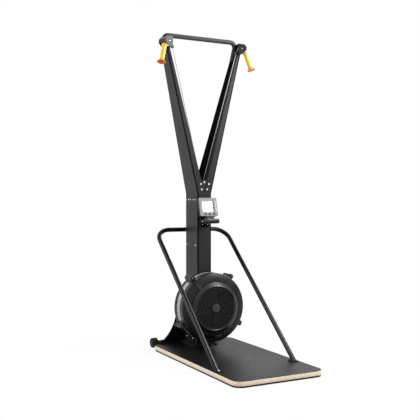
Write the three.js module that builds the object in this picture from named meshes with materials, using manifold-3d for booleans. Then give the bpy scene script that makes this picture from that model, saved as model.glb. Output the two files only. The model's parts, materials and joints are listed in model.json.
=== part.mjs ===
import * as THREE from "three";
import { mergeVertices } from "three/addons/utils/BufferGeometryUtils.js";
import Module from "manifold-3d";

// A ski trainer: a person stands on a low deck and pulls two cords down, and the cords turn a bladed fan.
// Lengths are in millimetres, angles in degrees. X is to the right of the person on the deck, Y runs
// forward from that person to the mast, Z is up, and the origin is on the floor at the middle of the whole.

const wasm = await Module();
wasm.setup();
const { Manifold, Mesh } = wasm;

// Common sizes
const GAP = 0.3;
const OVERRUN = 40;
const SHEET = 3;
const WELD = 0.0001;
const STRAIGHT = 90;
const HALF_TURN = 180;
const FULL_TURN = 360;
const SIDES = [-1, 1];

// Deck: an underlay, a plywood board and a thin top sheet
const DECK = { width: 630, length: 1200, corner: 62, arcSteps: 8 };
const LAYER = { underlay: 8, board: 30, sheet: 2, underlayInset: 3, sheetInset: 1 };

// Transport wheels behind the deck
const WHEEL = { radius: 36, width: 48, behind: 58, offFloor: 2, fromEdge: 16, pin: 6, cap: 15 };
const WHEEL_SHAPE = { shoulder: 9, hub: 20, hubRecess: 5, rib: 2, segments: 16 };
const WHEEL_ARM = { thickness: 6, foot: 46, footDepth: 5, nose: 20, rise: 26 };

// Mast: a lipped channel with a hat-section cover on its front
const MAST = { fromBack: 206, width: 103, depth: 194, bend: 1080, lip: 10, groove: 8 };
const COVER = { wing: 40 };
const BASE = { halfWidth: 95, thickness: 10, front: 18 };
const SHOE = { thickness: 5, length: 132, height: 46, foot: 38, fromBack: 3 };
const FLARE = { thickness: 6, top: 400, topHalf: 60, neck: 240, neckHalf: 128, fromEdge: 53 };
const FLARE_BEND = { lowIn: 68, lowZ: 45, highOut: 6, highZ: 130, edge: 4, flange: 30 };
const FLARE_FLANGE = { fromBase: 3, outerIn: 12 };
const FLARE_STEPS = 12;

// Two arms that spread upwards from the mast to the heads
const ARM_TOP = { beyondHead: 1.62, width: 22.71, depth: 96.97 };
const ARM = { capDepth: 50, tongue: 140, tongueInset: 4, ledge: 30, bite: 1 };
const GUSSET = { thickness: 4, foot: 40, neck: 10, top: 97, neckHalf: 37.9, topHalf: 59 };
const CROSSBAR = { radius: 17, aboveHead: 59, back: 71, bend: 36, inArm: 38.7, sides: 12, bendSteps: 8 };

// Cord, and the pulleys it runs over
const CORD = { radius: 2.5, sides: 8 };
const HEAD_PULLEY = { pitch: 22, flange: 2.5, halfWidth: 7, bore: 5.3 };
const REDIRECT = { pitch: 27, flange: 2.5, halfWidth: 7, bore: 6.3, x: 32, aboveBend: 68, behind: 43 };
const PULLEY_SHAPE = { floorHalf: 2.8, mouthHalf: 5.4, segments: 12 };
const REDIRECT_AXLE = { head: 8, headDepth: 4, shoulder: 9, collar: 4 };

// Head at the top of each arm, in its own frame: u outwards, v forwards, w up, from the pulley's centre
const HEAD = { x: 290, ahead: 14, height: 2127, yaw: 10, front: 23, back: 62, axle: 5, shoulder: 8 };
const HEAD_OUTLINE = { inner: 26, base: 39, floorEnd: 4, outer: 35, outerLow: 10, outerHigh: 14 };
const HEAD_TOP = { corner: 20, cornerRise: 31, innerRise: 34 };
const HEAD_WEB = { start: 1.5, front: 14, rise: 27.5 };
const HEAD_FLOOR = 4;
const GUIDE = { u: -37, w: -34, half: 8, depth: 9, rise: 9.5, bore: 4.2, neckHalf: 6, lean: 18 };

// Handles, measured along the cord from where it leaves the head pulley
const HANDLE = { dx: 0.27, dy: -0.19, top: 36, core: 12, grip: 16.5, hole: 2.8, segments: 16 };
const RING = { radius: 21, full: 38, fade: 41, waist: 44, waistRadius: 18, end: 47, endRadius: 17 };
const BELL = { start: 152, neck: 156, neckRadius: 18, flare: 163, flareRadius: 23.5, lip: 169, radius: 32 };
const BELL_HOLLOW = { edge: 172, edgeRadius: 30.5, innerRadius: 27.5, throat: 163, throatRadius: 15, roof: 158 };
const RELIEF = { clearance: 3, above: 4.5, length: 40 };
const KNOT = { radius: 6, at: 163.5 };
const STUB_START = 0.9;
const GRIP_ROUND = 2;

// Handrail: one tube bent into an arch, leaning forward to the mast
const RAIL = { radius: 16, wall: 2.5, fromEdge: 31, beforeMast: 703, lean: 41.63, reach: 1232, bend: 105 };
const RAIL_MESH = { outerSides: 14, innerSides: 8, bendSteps: 7 };
const RAIL_FOOT = { length: 78, width: 52, thickness: 5, corner: 20, fromEdge: 8 };
const SADDLE = { halfWidth: 34, halfHeight: 26 };

// Fan housing: everything is turned about one axis that runs forward
const FAN = { height: 288, radius: 240, wall: 3, ahead: 132, segments: 48 };
const FRONT_RIM = { depth: 41, shoulder: 8, shoulderDepth: 9, cone: 24, coneRadius: 180, opening: 134 };
const REAR_RIM = { depth: 28, toMast: 6, pad: 80, padHalf: 48 };
const BOSS = { radius: 19, orbit: 255, start: 17, seam: 66, fromBack: 16, clearance: 0.8, segments: 14 };
const bossTurnShares = [0.15, 0.35, 0.575, 0.9167, 0.75];
const SCREEN = { wall: 2, frontLap: 6, rearLap: 6, slots: 24, rows: 2, land: 5 };
const slotShare = 0.66;
const AXLE = { radius: 10, bore: 10.3, front: 30 };

// Front grille: concentric rings on four spokes round a hub cap
const GRILLE = { rings: 9, cap: 32, pitch: 10.9, ringWidth: 3.2, ringDepth: 4, segments: 28 };
const GRILLE_SKIRT = { wall: 3.4, front: 39 };
const GRILLE_SPOKE = { width: 5, depth: 4, front: 37 };
const GRILLE_HUB = { front: 47, shoulder: 5, face: 22, boss: 16, bossEnd: 14 };
const spokeTurnShares = [0.25, 0.75, 0.0361, 0.5361];

// Damper ring: the rounded bezel round the grille, turned by a lever
const BEZEL = { inner: 143, outer: 179, back: 24.3, crest: 45, mid: 152 };
const LEVER = { angle: 129, width: 22, inner: 163, outer: 230, thickness: 4, clearance: 1.6, lip: 8, lipRise: 7 };
const SCALE_SLOT = { inner: 196, outer: 210, from: 250, to: 290, steps: 7 };

// Bladed fan wheel
const BLADES = { count: 18, inner: 92, outer: 212, thickness: 2.5, sweep: 26, steps: 3 };
const FANWHEEL = { hub: 30, disc: 220, discDepth: 4, back: 41, bladeDepth: 58, hubDepth: 64, segments: 32 };

// Cord drums and the case of the return spring, on the fan's axle inside the mast
const DRUM = { flange: 32, halfWidth: 14, cheek: 3, core: 18.7, layer: 24.5, turns: 4, segments: 16 };
const DRUM_PLACE = { right: 26, left: 60 };
const DRUM_CORD = { turns: 1.25, shift: 7, steps: 26 };
const SPRING_CASE = { radius: 38, start: 83, length: 50, step: 6, hub: 18, segments: 16 };

// Monitor on a tilting barrel in front of the mast
const BARREL = { radius: 17.5, half: 58, height: 888, ahead: 94, bore: 4.3, pin: 4, segments: 20 };
const CASE = { width: 137, height: 130, depth: 32, front: 9, corner: 5, tilt: 14.3 };
const CASE_PLACE = { behindBarrel: 15, aboveBarrel: 35 };
const NECK = { half: 30, reach: 6, low: 12, high: 14, back: 30 };
const LCD = { left: -49, right: 33, low: 27, high: 105, recess: 1.8, thickness: 1.2, corner: 3 };
const DARK_KEY = { xs: [-32, 2, 36], height: 13, halfWidth: 9, halfHeight: 4.5, corner: 4 };
const WHITE_KEY = { x: 56, count: 5, low: 31, pitch: 17, halfWidth: 4.5, halfHeight: 3.5, corner: 3 };
const KEY = { depth: 4.5, pocket: 6, proud: 1.6, arcSteps: 2 };
const EAR = { thickness: 4, halfHeight: 14, front: 12, straight: 24, rootHalf: 42, plate: 4, pad: 6.7 };
const PAD = { half: 30, low: 44, high: 16 };

const rad = (degrees) => THREE.MathUtils.degToRad(degrees);
const deg = (radians) => THREE.MathUtils.radToDeg(radians);

// Places that follow from the sizes above
const overall = DECK.length + WHEEL.behind + WHEEL.radius;
const deckFront = -overall / 2;
const deckBack = deckFront + DECK.length;
const deckTop = LAYER.underlay + LAYER.board + LAYER.sheet;
const up = (height) => deckTop + height;
const mastFront = deckBack - MAST.fromBack;
const mastBack = mastFront + MAST.depth;
const mastHalf = MAST.width / 2;
const lipFront = mastFront + SHEET + MAST.groove;
const baseTop = deckTop + GAP + BASE.thickness;
const mastFoot = baseTop + GAP;
const bendZ = up(MAST.bend);
const headZ = up(HEAD.height);
const headY = mastFront - HEAD.ahead;
const armTop = headZ - HEAD_OUTLINE.base - GAP;
const armTopOuter = HEAD.x + ARM_TOP.beyondHead;
const armSlope = (armTopOuter - mastHalf) / (armTop - bendZ);
const innerSlope = (armTopOuter - ARM_TOP.width - GAP / 2) / (armTop - bendZ);
const backSlope = (MAST.depth - ARM_TOP.depth) / (armTop - bendZ);
const armOuter = (z) => mastHalf + (z - bendZ) * armSlope;
const armInner = (z) => GAP / 2 + (z - bendZ) * innerSlope;
const armBack = (z) => mastBack - (z - bendZ) * backSlope;
const fanZ = up(FAN.height);
const fanFront = mastFront - FAN.ahead;
const fanBack = mastFront - REAR_RIM.toMast;
const redirectZ = bendZ + REDIRECT.aboveBend;
const redirectY = mastFront + REDIRECT.behind;
const barrelZ = up(BARREL.height);
const barrelY = mastFront - BARREL.ahead;

// Geometry helpers. A solid is a closed body; solids are joined and cut, and then shown as meshes.
function solid(geometry) {
  const bare = geometry.clone();
  bare.deleteAttribute("normal");
  bare.deleteAttribute("uv");
  const welded = mergeVertices(bare, WELD);
  const corners = welded.index.array;
  const kept = [];
  const turned = [];
  for (let i = 0; i < corners.length; i += 3) {
    const [a, b, c] = corners.slice(i, i + 3);
    if (a === b || b === c || c === a) continue;
    kept.push(a, b, c);
    turned.push(a, c, b);
  }
  const build = (triangles) =>
    new Manifold(
      new Mesh({
        numProp: 3,
        vertProperties: welded.attributes.position.array,
        triVerts: new Uint32Array(triangles),
      }),
    );
  const made = build(kept);
  return made.volume() < 0 ? build(turned) : made;
}

const join = (...solids) => solids.flat().reduce((whole, piece) => whole.add(piece));
const cut = (whole, ...pieces) => pieces.flat().reduce((left, piece) => left.subtract(piece), whole);
const common = (first, second) => first.intersect(second);

const shapeOf = (points) => new THREE.Shape(points.map(([x, y]) => new THREE.Vector2(x, y)));
const flat = (shape, depth) => new THREE.ExtrudeGeometry(shape, { depth, bevelEnabled: false, curveSegments: 6 });

// An outline drawn in X and Y, raised from z0 to z1
function extrudeZ(shape, z0, z1) {
  return solid(flat(shape, z1 - z0).translate(0, 0, z0));
}

// An outline drawn in X and Z, run from y0 to y1
function extrudeY(shape, y0, y1) {
  return solid(flat(shape, y1 - y0).rotateX(Math.PI / 2).translate(0, y1, 0));
}

// An outline drawn in Y and Z, run from x0 to x1
function extrudeX(shape, x0, x1) {
  const turn = new THREE.Matrix4().makeBasis(
    new THREE.Vector3(0, 1, 0),
    new THREE.Vector3(0, 0, 1),
    new THREE.Vector3(1, 0, 0),
  );
  return solid(flat(shape, x1 - x0).applyMatrix4(turn).translate(x0, 0, 0));
}

function box(x0, x1, y0, y1, z0, z1) {
  const made = new THREE.BoxGeometry(Math.abs(x1 - x0), Math.abs(y1 - y0), Math.abs(z1 - z0));
  return solid(made.translate((x0 + x1) / 2, (y0 + y1) / 2, (z0 + z1) / 2));
}

function rodY(radius, y0, y1, x, z, segments) {
  const made = new THREE.CylinderGeometry(radius, radius, y1 - y0, segments);
  return solid(made.translate(x, (y0 + y1) / 2, z));
}

function rodX(radius, x0, x1, y, z, segments) {
  const made = new THREE.CylinderGeometry(radius, radius, Math.abs(x1 - x0), segments).rotateZ(Math.PI / 2);
  return solid(made.translate((x0 + x1) / 2, y, z));
}

// A profile of radius and distance, turned about the Y axis
function turnY(profile, segments, x = 0, z = 0) {
  const points = profile.map(([r, y]) => new THREE.Vector2(r, y));
  return solid(new THREE.LatheGeometry(points, segments).translate(x, 0, z));
}

const closed = (profile) => [...profile, profile[0]];

// A rectangle with rounded corners, as points
function roundedBox(x0, x1, y0, y1, radius, steps) {
  const corners = [
    [x1 - radius, y1 - radius, 0],
    [x0 + radius, y1 - radius, STRAIGHT],
    [x0 + radius, y0 + radius, HALF_TURN],
    [x1 - radius, y0 + radius, HALF_TURN + STRAIGHT],
  ];
  return corners.flatMap(([x, y, start]) =>
    Array.from({ length: steps + 1 }, (_, i) => {
      const angle = rad(start + (STRAIGHT * i) / steps);
      return [x + radius * Math.cos(angle), y + radius * Math.sin(angle)];
    }),
  );
}

const mirrored = (half) => [...half, ...half.map(([x, y]) => [-x, y]).reverse()];

// A path through points that are already where the tube's rings belong
class BentPath extends THREE.Curve {
  constructor(points) {
    super();
    this.points = points;
  }
  at(u) {
    const last = this.points.length - 1;
    return Math.min(last, Math.max(0, Math.round(u * last)));
  }
  getPoint(u, target = new THREE.Vector3()) {
    return target.copy(this.points[this.at(u)]);
  }
  getPointAt(u, target) {
    return this.getPoint(u, target);
  }
  getTangent(u, target = new THREE.Vector3()) {
    const here = this.at(u);
    const before = Math.max(0, here - 1);
    const after = Math.min(this.points.length - 1, here + 1);
    const back = this.points[here].clone().sub(this.points[before]).normalize();
    const on = this.points[after].clone().sub(this.points[here]).normalize();
    return target.copy(back.add(on)).normalize();
  }
  getTangentAt(u, target) {
    return this.getTangent(u, target);
  }
}

function ringShape(radius, sides, hole, holeSides) {
  const circle = (r, n) =>
    Array.from({ length: n }, (_, i) => {
      const angle = rad((FULL_TURN * i) / n);
      return [r * Math.cos(angle), r * Math.sin(angle)];
    });
  const shape = shapeOf(circle(radius, sides));
  if (hole) shape.holes.push(shapeOf(circle(hole, holeSides)));
  return shape;
}

function tube(points, shape) {
  const path = new BentPath(points);
  const steps = points.length - 1;
  return solid(new THREE.ExtrudeGeometry(shape, { steps, extrudePath: path, bevelEnabled: false }));
}

// A mesh with its own material, in the machine or in a group of it
const machine = new THREE.Group();
machine.name = "ski_trainer";

function part(name, made, color, roughness, metalness, holder = machine) {
  const { vertProperties, triVerts, numProp, numVert } = made.getMesh();
  const points = new Float32Array(numVert * 3);
  for (let i = 0; i < numVert; i++) {
    points.set(vertProperties.subarray(i * numProp, i * numProp + 3), i * 3);
  }
  const geometry = new THREE.BufferGeometry();
  geometry.setAttribute("position", new THREE.BufferAttribute(points, 3));
  geometry.setIndex(new THREE.BufferAttribute(triVerts, 1));
  geometry.computeVertexNormals();
  const material = new THREE.MeshStandardMaterial({ color, roughness, metalness });
  const mesh = new THREE.Mesh(geometry, material);
  mesh.name = name;
  holder.add(mesh);
  return mesh;
}

const BLACK = [0x232325, 0.5, 0.35];
const PLASTIC = [0x2a2a2c, 0.5, 0];
const STEEL = [0xb9bcc0, 0.35, 0.9];
const MESH_METAL = [0x8f9296, 0.45, 0.7];
const CORD_GREY = [0xd8d8dc, 0.8, 0];
const sided = (name, side) => name + (side < 0 ? "_left" : "_right");

// Deck
const deckOutline = (inset) =>
  shapeOf(
    roundedBox(
      -DECK.width / 2 + inset,
      DECK.width / 2 - inset,
      deckFront + inset,
      deckBack - inset,
      DECK.corner - inset,
      DECK.arcSteps,
    ),
  );
const boardTop = LAYER.underlay + LAYER.board;
part("deck_underlay", extrudeZ(deckOutline(LAYER.underlayInset), 0, LAYER.underlay - GAP), 0x1b1b1c, 0.9, 0);
part("deck_board", extrudeZ(deckOutline(0), LAYER.underlay, boardTop - GAP), 0xe3c29b, 0.6, 0);
part("deck_top_sheet", extrudeZ(deckOutline(LAYER.sheetInset), boardTop, deckTop), 0x3a3a3b, 0.75, 0);

// Mast and its feet
const baseOutline = shapeOf([
  [-BASE.halfWidth, mastFront - BASE.front],
  [BASE.halfWidth, mastFront - BASE.front],
  [BASE.halfWidth, mastBack],
  [-BASE.halfWidth, mastBack],
]);
part("column_base_plate", extrudeZ(baseOutline, deckTop + GAP, baseTop), ...BLACK);

const lipInner = mastHalf - MAST.lip;
const channelHalf = [
  [lipInner, lipFront],
  [mastHalf, lipFront],
  [mastHalf, mastBack],
];
const channelInside = [
  [mastHalf - SHEET, mastBack - SHEET],
  [mastHalf - SHEET, lipFront + SHEET],
  [lipInner, lipFront + SHEET],
];
const channelOutline = [
  ...channelHalf,
  ...channelHalf.map(([x, y]) => [-x, y]).reverse(),
  ...channelInside.map(([x, y]) => [-x, y]).reverse(),
  ...channelInside,
];
const axleBore = rodY(AXLE.bore, mastFront - OVERRUN, mastBack + OVERRUN, 0, fanZ, DRUM.segments);
part("column", cut(extrudeZ(shapeOf(channelOutline), mastFoot, bendZ), axleBore), ...BLACK);

const wingOuter = lipInner - GAP;
const coverHalf = [
  [wingOuter - SHEET, mastFront + SHEET],
  [wingOuter - SHEET, mastFront + COVER.wing],
  [wingOuter, mastFront + COVER.wing],
  [wingOuter, mastFront + SHEET],
  [mastHalf, mastFront + SHEET],
  [mastHalf, mastFront],
];
const cover = extrudeZ(shapeOf(mirrored(coverHalf)), mastFoot, bendZ);
part("column_front_cover", cut(cover, axleBore), ...BLACK);

for (const side of SIDES) {
  const wall = mastHalf + GAP;
  const shoeBack = mastBack - SHOE.fromBack;
  const shoe = shapeOf([
    [side * wall, mastFoot],
    [side * (wall + SHOE.foot), mastFoot],
    [side * (wall + SHOE.foot), mastFoot + SHOE.thickness],
    [side * (wall + SHOE.thickness), mastFoot + SHOE.thickness],
    [side * (wall + SHOE.thickness), mastFoot + SHOE.height],
    [side * wall, mastFoot + SHOE.height],
  ]);
  part(sided("foot_bracket", side), extrudeY(shoe, shoeBack - SHOE.length, shoeBack), ...BLACK);
}

// A flared plate stands behind the mast, with two flanges on the deck
const flareShape = new THREE.Shape();
const flareFoot = deckTop + GAP;
const flareHalf = DECK.width / 2 - FLARE.fromEdge;
flareShape.moveTo(-flareHalf, flareFoot);
flareShape.lineTo(flareHalf, flareFoot);
flareShape.lineTo(flareHalf, up(FLARE_BEND.edge));
const flareCurve = new THREE.CubicBezierCurve(
  new THREE.Vector2(flareHalf, up(FLARE_BEND.edge)),
  new THREE.Vector2(flareHalf - FLARE_BEND.lowIn, up(FLARE_BEND.lowZ)),
  new THREE.Vector2(FLARE.neckHalf + FLARE_BEND.highOut, up(FLARE_BEND.highZ)),
  new THREE.Vector2(FLARE.neckHalf, up(FLARE.neck)),
).getPoints(FLARE_STEPS);
flareCurve.slice(1).forEach((p) => flareShape.lineTo(p.x, p.y));
flareShape.lineTo(FLARE.topHalf, up(FLARE.top));
flareShape.lineTo(-FLARE.topHalf, up(FLARE.top));
[...flareCurve].reverse().forEach((p) => flareShape.lineTo(-p.x, p.y));
const flareFront = mastBack + GAP;
const flarePlate = extrudeY(flareShape, flareFront, flareFront + FLARE.thickness);
const flareFlanges = SIDES.map((side) =>
  box(
    side * (BASE.halfWidth + FLARE_FLANGE.fromBase),
    side * (flareHalf - FLARE_FLANGE.outerIn),
    flareFront - FLARE_BEND.flange,
    flareFront + FLARE.thickness / 2,
    flareFoot,
    flareFoot + FLARE.thickness,
  ),
);
part("rear_flare_plate", join(flarePlate, flareFlanges), ...BLACK);

// Arms: each is a folded channel, open towards the other arm, that narrows and shallows upwards
for (const side of SIDES) {
  const foot = bendZ + GAP;
  const quad = (xa, xb, z0, z1) =>
    shapeOf([
      [side * xa(z0), z0],
      [side * xb(z0), z0],
      [side * xb(z1), z1],
      [side * xa(z1), z1],
    ]);
  const slab = (ya, yb, z0, z1) =>
    shapeOf([
      [ya(z0), z0],
      [yb(z0), z0],
      [yb(z1), z1],
      [ya(z1), z1],
    ]);
  const low = foot - OVERRUN;
  const high = armTop + OVERRUN;
  const far = armOuter(high) + OVERRUN;
  const inward = (z) => armInner(z) - OVERRUN;
  const whole = common(
    extrudeY(quad(armInner, armOuter, foot, armTop), mastFront, mastBack + OVERRUN),
    extrudeX(slab(() => mastFront, armBack, low, high), -far, far),
  );
  const groove = extrudeY(
    quad((z) => armOuter(z) - MAST.lip, (z) => armOuter(z) + OVERRUN, low, high),
    mastFront + SHEET,
    lipFront,
  );
  const hollow = common(
    extrudeY(quad(inward, (z) => armOuter(z) - SHEET, low, high), mastFront, mastBack + OVERRUN),
    extrudeX(slab(() => lipFront + SHEET, (z) => armBack(z) - SHEET, low, high), -far, far),
  );
  const frontHollow = extrudeY(
    quad(inward, (z) => armOuter(z) - MAST.lip - SHEET, low, high),
    mastFront + SHEET,
    lipFront + SHEET + SHEET,
  );
  const channel = cut(whole, groove, hollow, frontHollow);
  const cap = common(
    common(whole, box(-far, far, mastFront, mastFront + ARM.capDepth, armTop - SHEET, high)),
    extrudeY(quad(inward, (z) => armOuter(z) - SHEET / 2, low, high), mastFront, mastBack),
  );
  const tongueOuter = mastHalf - SHEET - GAP;
  const tongueInner = tongueOuter - SHEET;
  const ledgeTop = foot + ARM.ledge;
  const tongue = extrudeY(
    shapeOf([
      [side * tongueInner, foot - ARM.tongue],
      [side * tongueOuter, foot - ARM.tongue],
      [side * tongueOuter, foot],
      [side * (armOuter(foot) - ARM.bite), foot],
      [side * (armOuter(ledgeTop) - ARM.bite), ledgeTop],
      [side * tongueInner, ledgeTop],
    ]),
    lipFront + SHEET + ARM.tongueInset,
    mastBack - SHEET - ARM.tongueInset,
  );
  const boltHole = rodY(
    REDIRECT.bore,
    mastFront - OVERRUN,
    mastFront + SHEET + MAST.groove,
    side * REDIRECT.x,
    redirectZ,
    DRUM.segments,
  );
  part(sided("arm", side), cut(join(channel, cap, tongue), boltHole), ...BLACK);
}

// A plate behind the front flanges closes the root of the fork
const gussetHalf = [
  [GUSSET.neckHalf, up(MAST.bend) - GUSSET.foot],
  [GUSSET.neckHalf, up(MAST.bend) + GUSSET.neck],
  [GUSSET.topHalf, up(MAST.bend) + GUSSET.top],
];
const gussetFront = mastFront + SHEET + GAP;
const gussetPlate = extrudeY(shapeOf(mirrored(gussetHalf)), gussetFront, gussetFront + GUSSET.thickness);
const gussetHoles = SIDES.map((side) =>
  rodY(REDIRECT.bore, mastFront, mastFront + OVERRUN, side * REDIRECT.x, redirectZ, DRUM.segments),
);
part("front_gusset_plate", cut(gussetPlate, gussetHoles), ...BLACK);

// Crossbar: a round bar whose two ends run down inside the arms
{
  const barZ = headZ + CROSSBAR.aboveHead;
  const barY = mastFront + CROSSBAR.back;
  const lean = Math.atan(armSlope);
  const turn = Math.PI / 2 + lean;
  const inset = SHEET / Math.cos(lean) + (CROSSBAR.radius + GAP) / Math.cos(lean);
  const legX = (z) => armOuter(z) - inset;
  // the bend touches the level run and the leaning leg
  const reach = CROSSBAR.bend * Math.tan(turn / 2);
  const cornerX = legX(barZ);
  const centreX = cornerX - reach;
  const half = [];
  for (let i = 0; i <= CROSSBAR.bendSteps; i++) {
    const angle = Math.PI / 2 - (turn * i) / CROSSBAR.bendSteps;
    half.push([
      centreX + CROSSBAR.bend * Math.cos(angle),
      barZ - CROSSBAR.bend + CROSSBAR.bend * Math.sin(angle),
    ]);
  }
  const endZ = armTop - CROSSBAR.inArm;
  half.push([legX(endZ), endZ]);
  const right = half.map(([x, z]) => new THREE.Vector3(x, barY, z));
  const left = half.map(([x, z]) => new THREE.Vector3(-x, barY, z)).reverse();
  const made = tube([...left, ...right], ringShape(CROSSBAR.radius, CROSSBAR.sides));
  part("arm_crossbar", made, ...BLACK);
}

// Where the cord leaves the head pulley, and the way it is pulled
const pullOf = (side) =>
  new THREE.Vector3(side * HANDLE.dx, HANDLE.dy, -Math.sqrt(1 - HANDLE.dx ** 2 - HANDLE.dy ** 2));
const UP = new THREE.Vector3(0, 0, 1);
const headTurn = (side) => rad(-side * HEAD.yaw);
const headPoint = (side, u, v, w) =>
  new THREE.Vector3(side * u, v, w)
    .applyAxisAngle(UP, headTurn(side))
    .add(new THREE.Vector3(side * HEAD.x, headY, headZ));
const localPull = (side) => pullOf(side).applyAxisAngle(UP, -headTurn(side));
const leaveAngle = (side) => {
  const d = localPull(side);
  return Math.atan2(side * d.x, -d.z);
};
const cordStart = (side) => {
  const angle = leaveAngle(side);
  return headPoint(side, HEAD_PULLEY.pitch * Math.cos(angle), 0, HEAD_PULLEY.pitch * Math.sin(angle));
};

// A grooved pulley that turns about Y, centred at y
function pulley(sizes, y, x, z) {
  const floor = sizes.pitch - CORD.radius - GAP;
  const rim = sizes.pitch + sizes.flange;
  return turnY(
    closed([
      [sizes.bore, y - sizes.halfWidth],
      [rim, y - sizes.halfWidth],
      [rim, y - PULLEY_SHAPE.mouthHalf],
      [floor, y - PULLEY_SHAPE.floorHalf],
      [floor, y + PULLEY_SHAPE.floorHalf],
      [rim, y + PULLEY_SHAPE.mouthHalf],
      [rim, y + sizes.halfWidth],
      [sizes.bore, y + sizes.halfWidth],
    ]),
    PULLEY_SHAPE.segments,
    x,
    z,
  );
}

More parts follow.
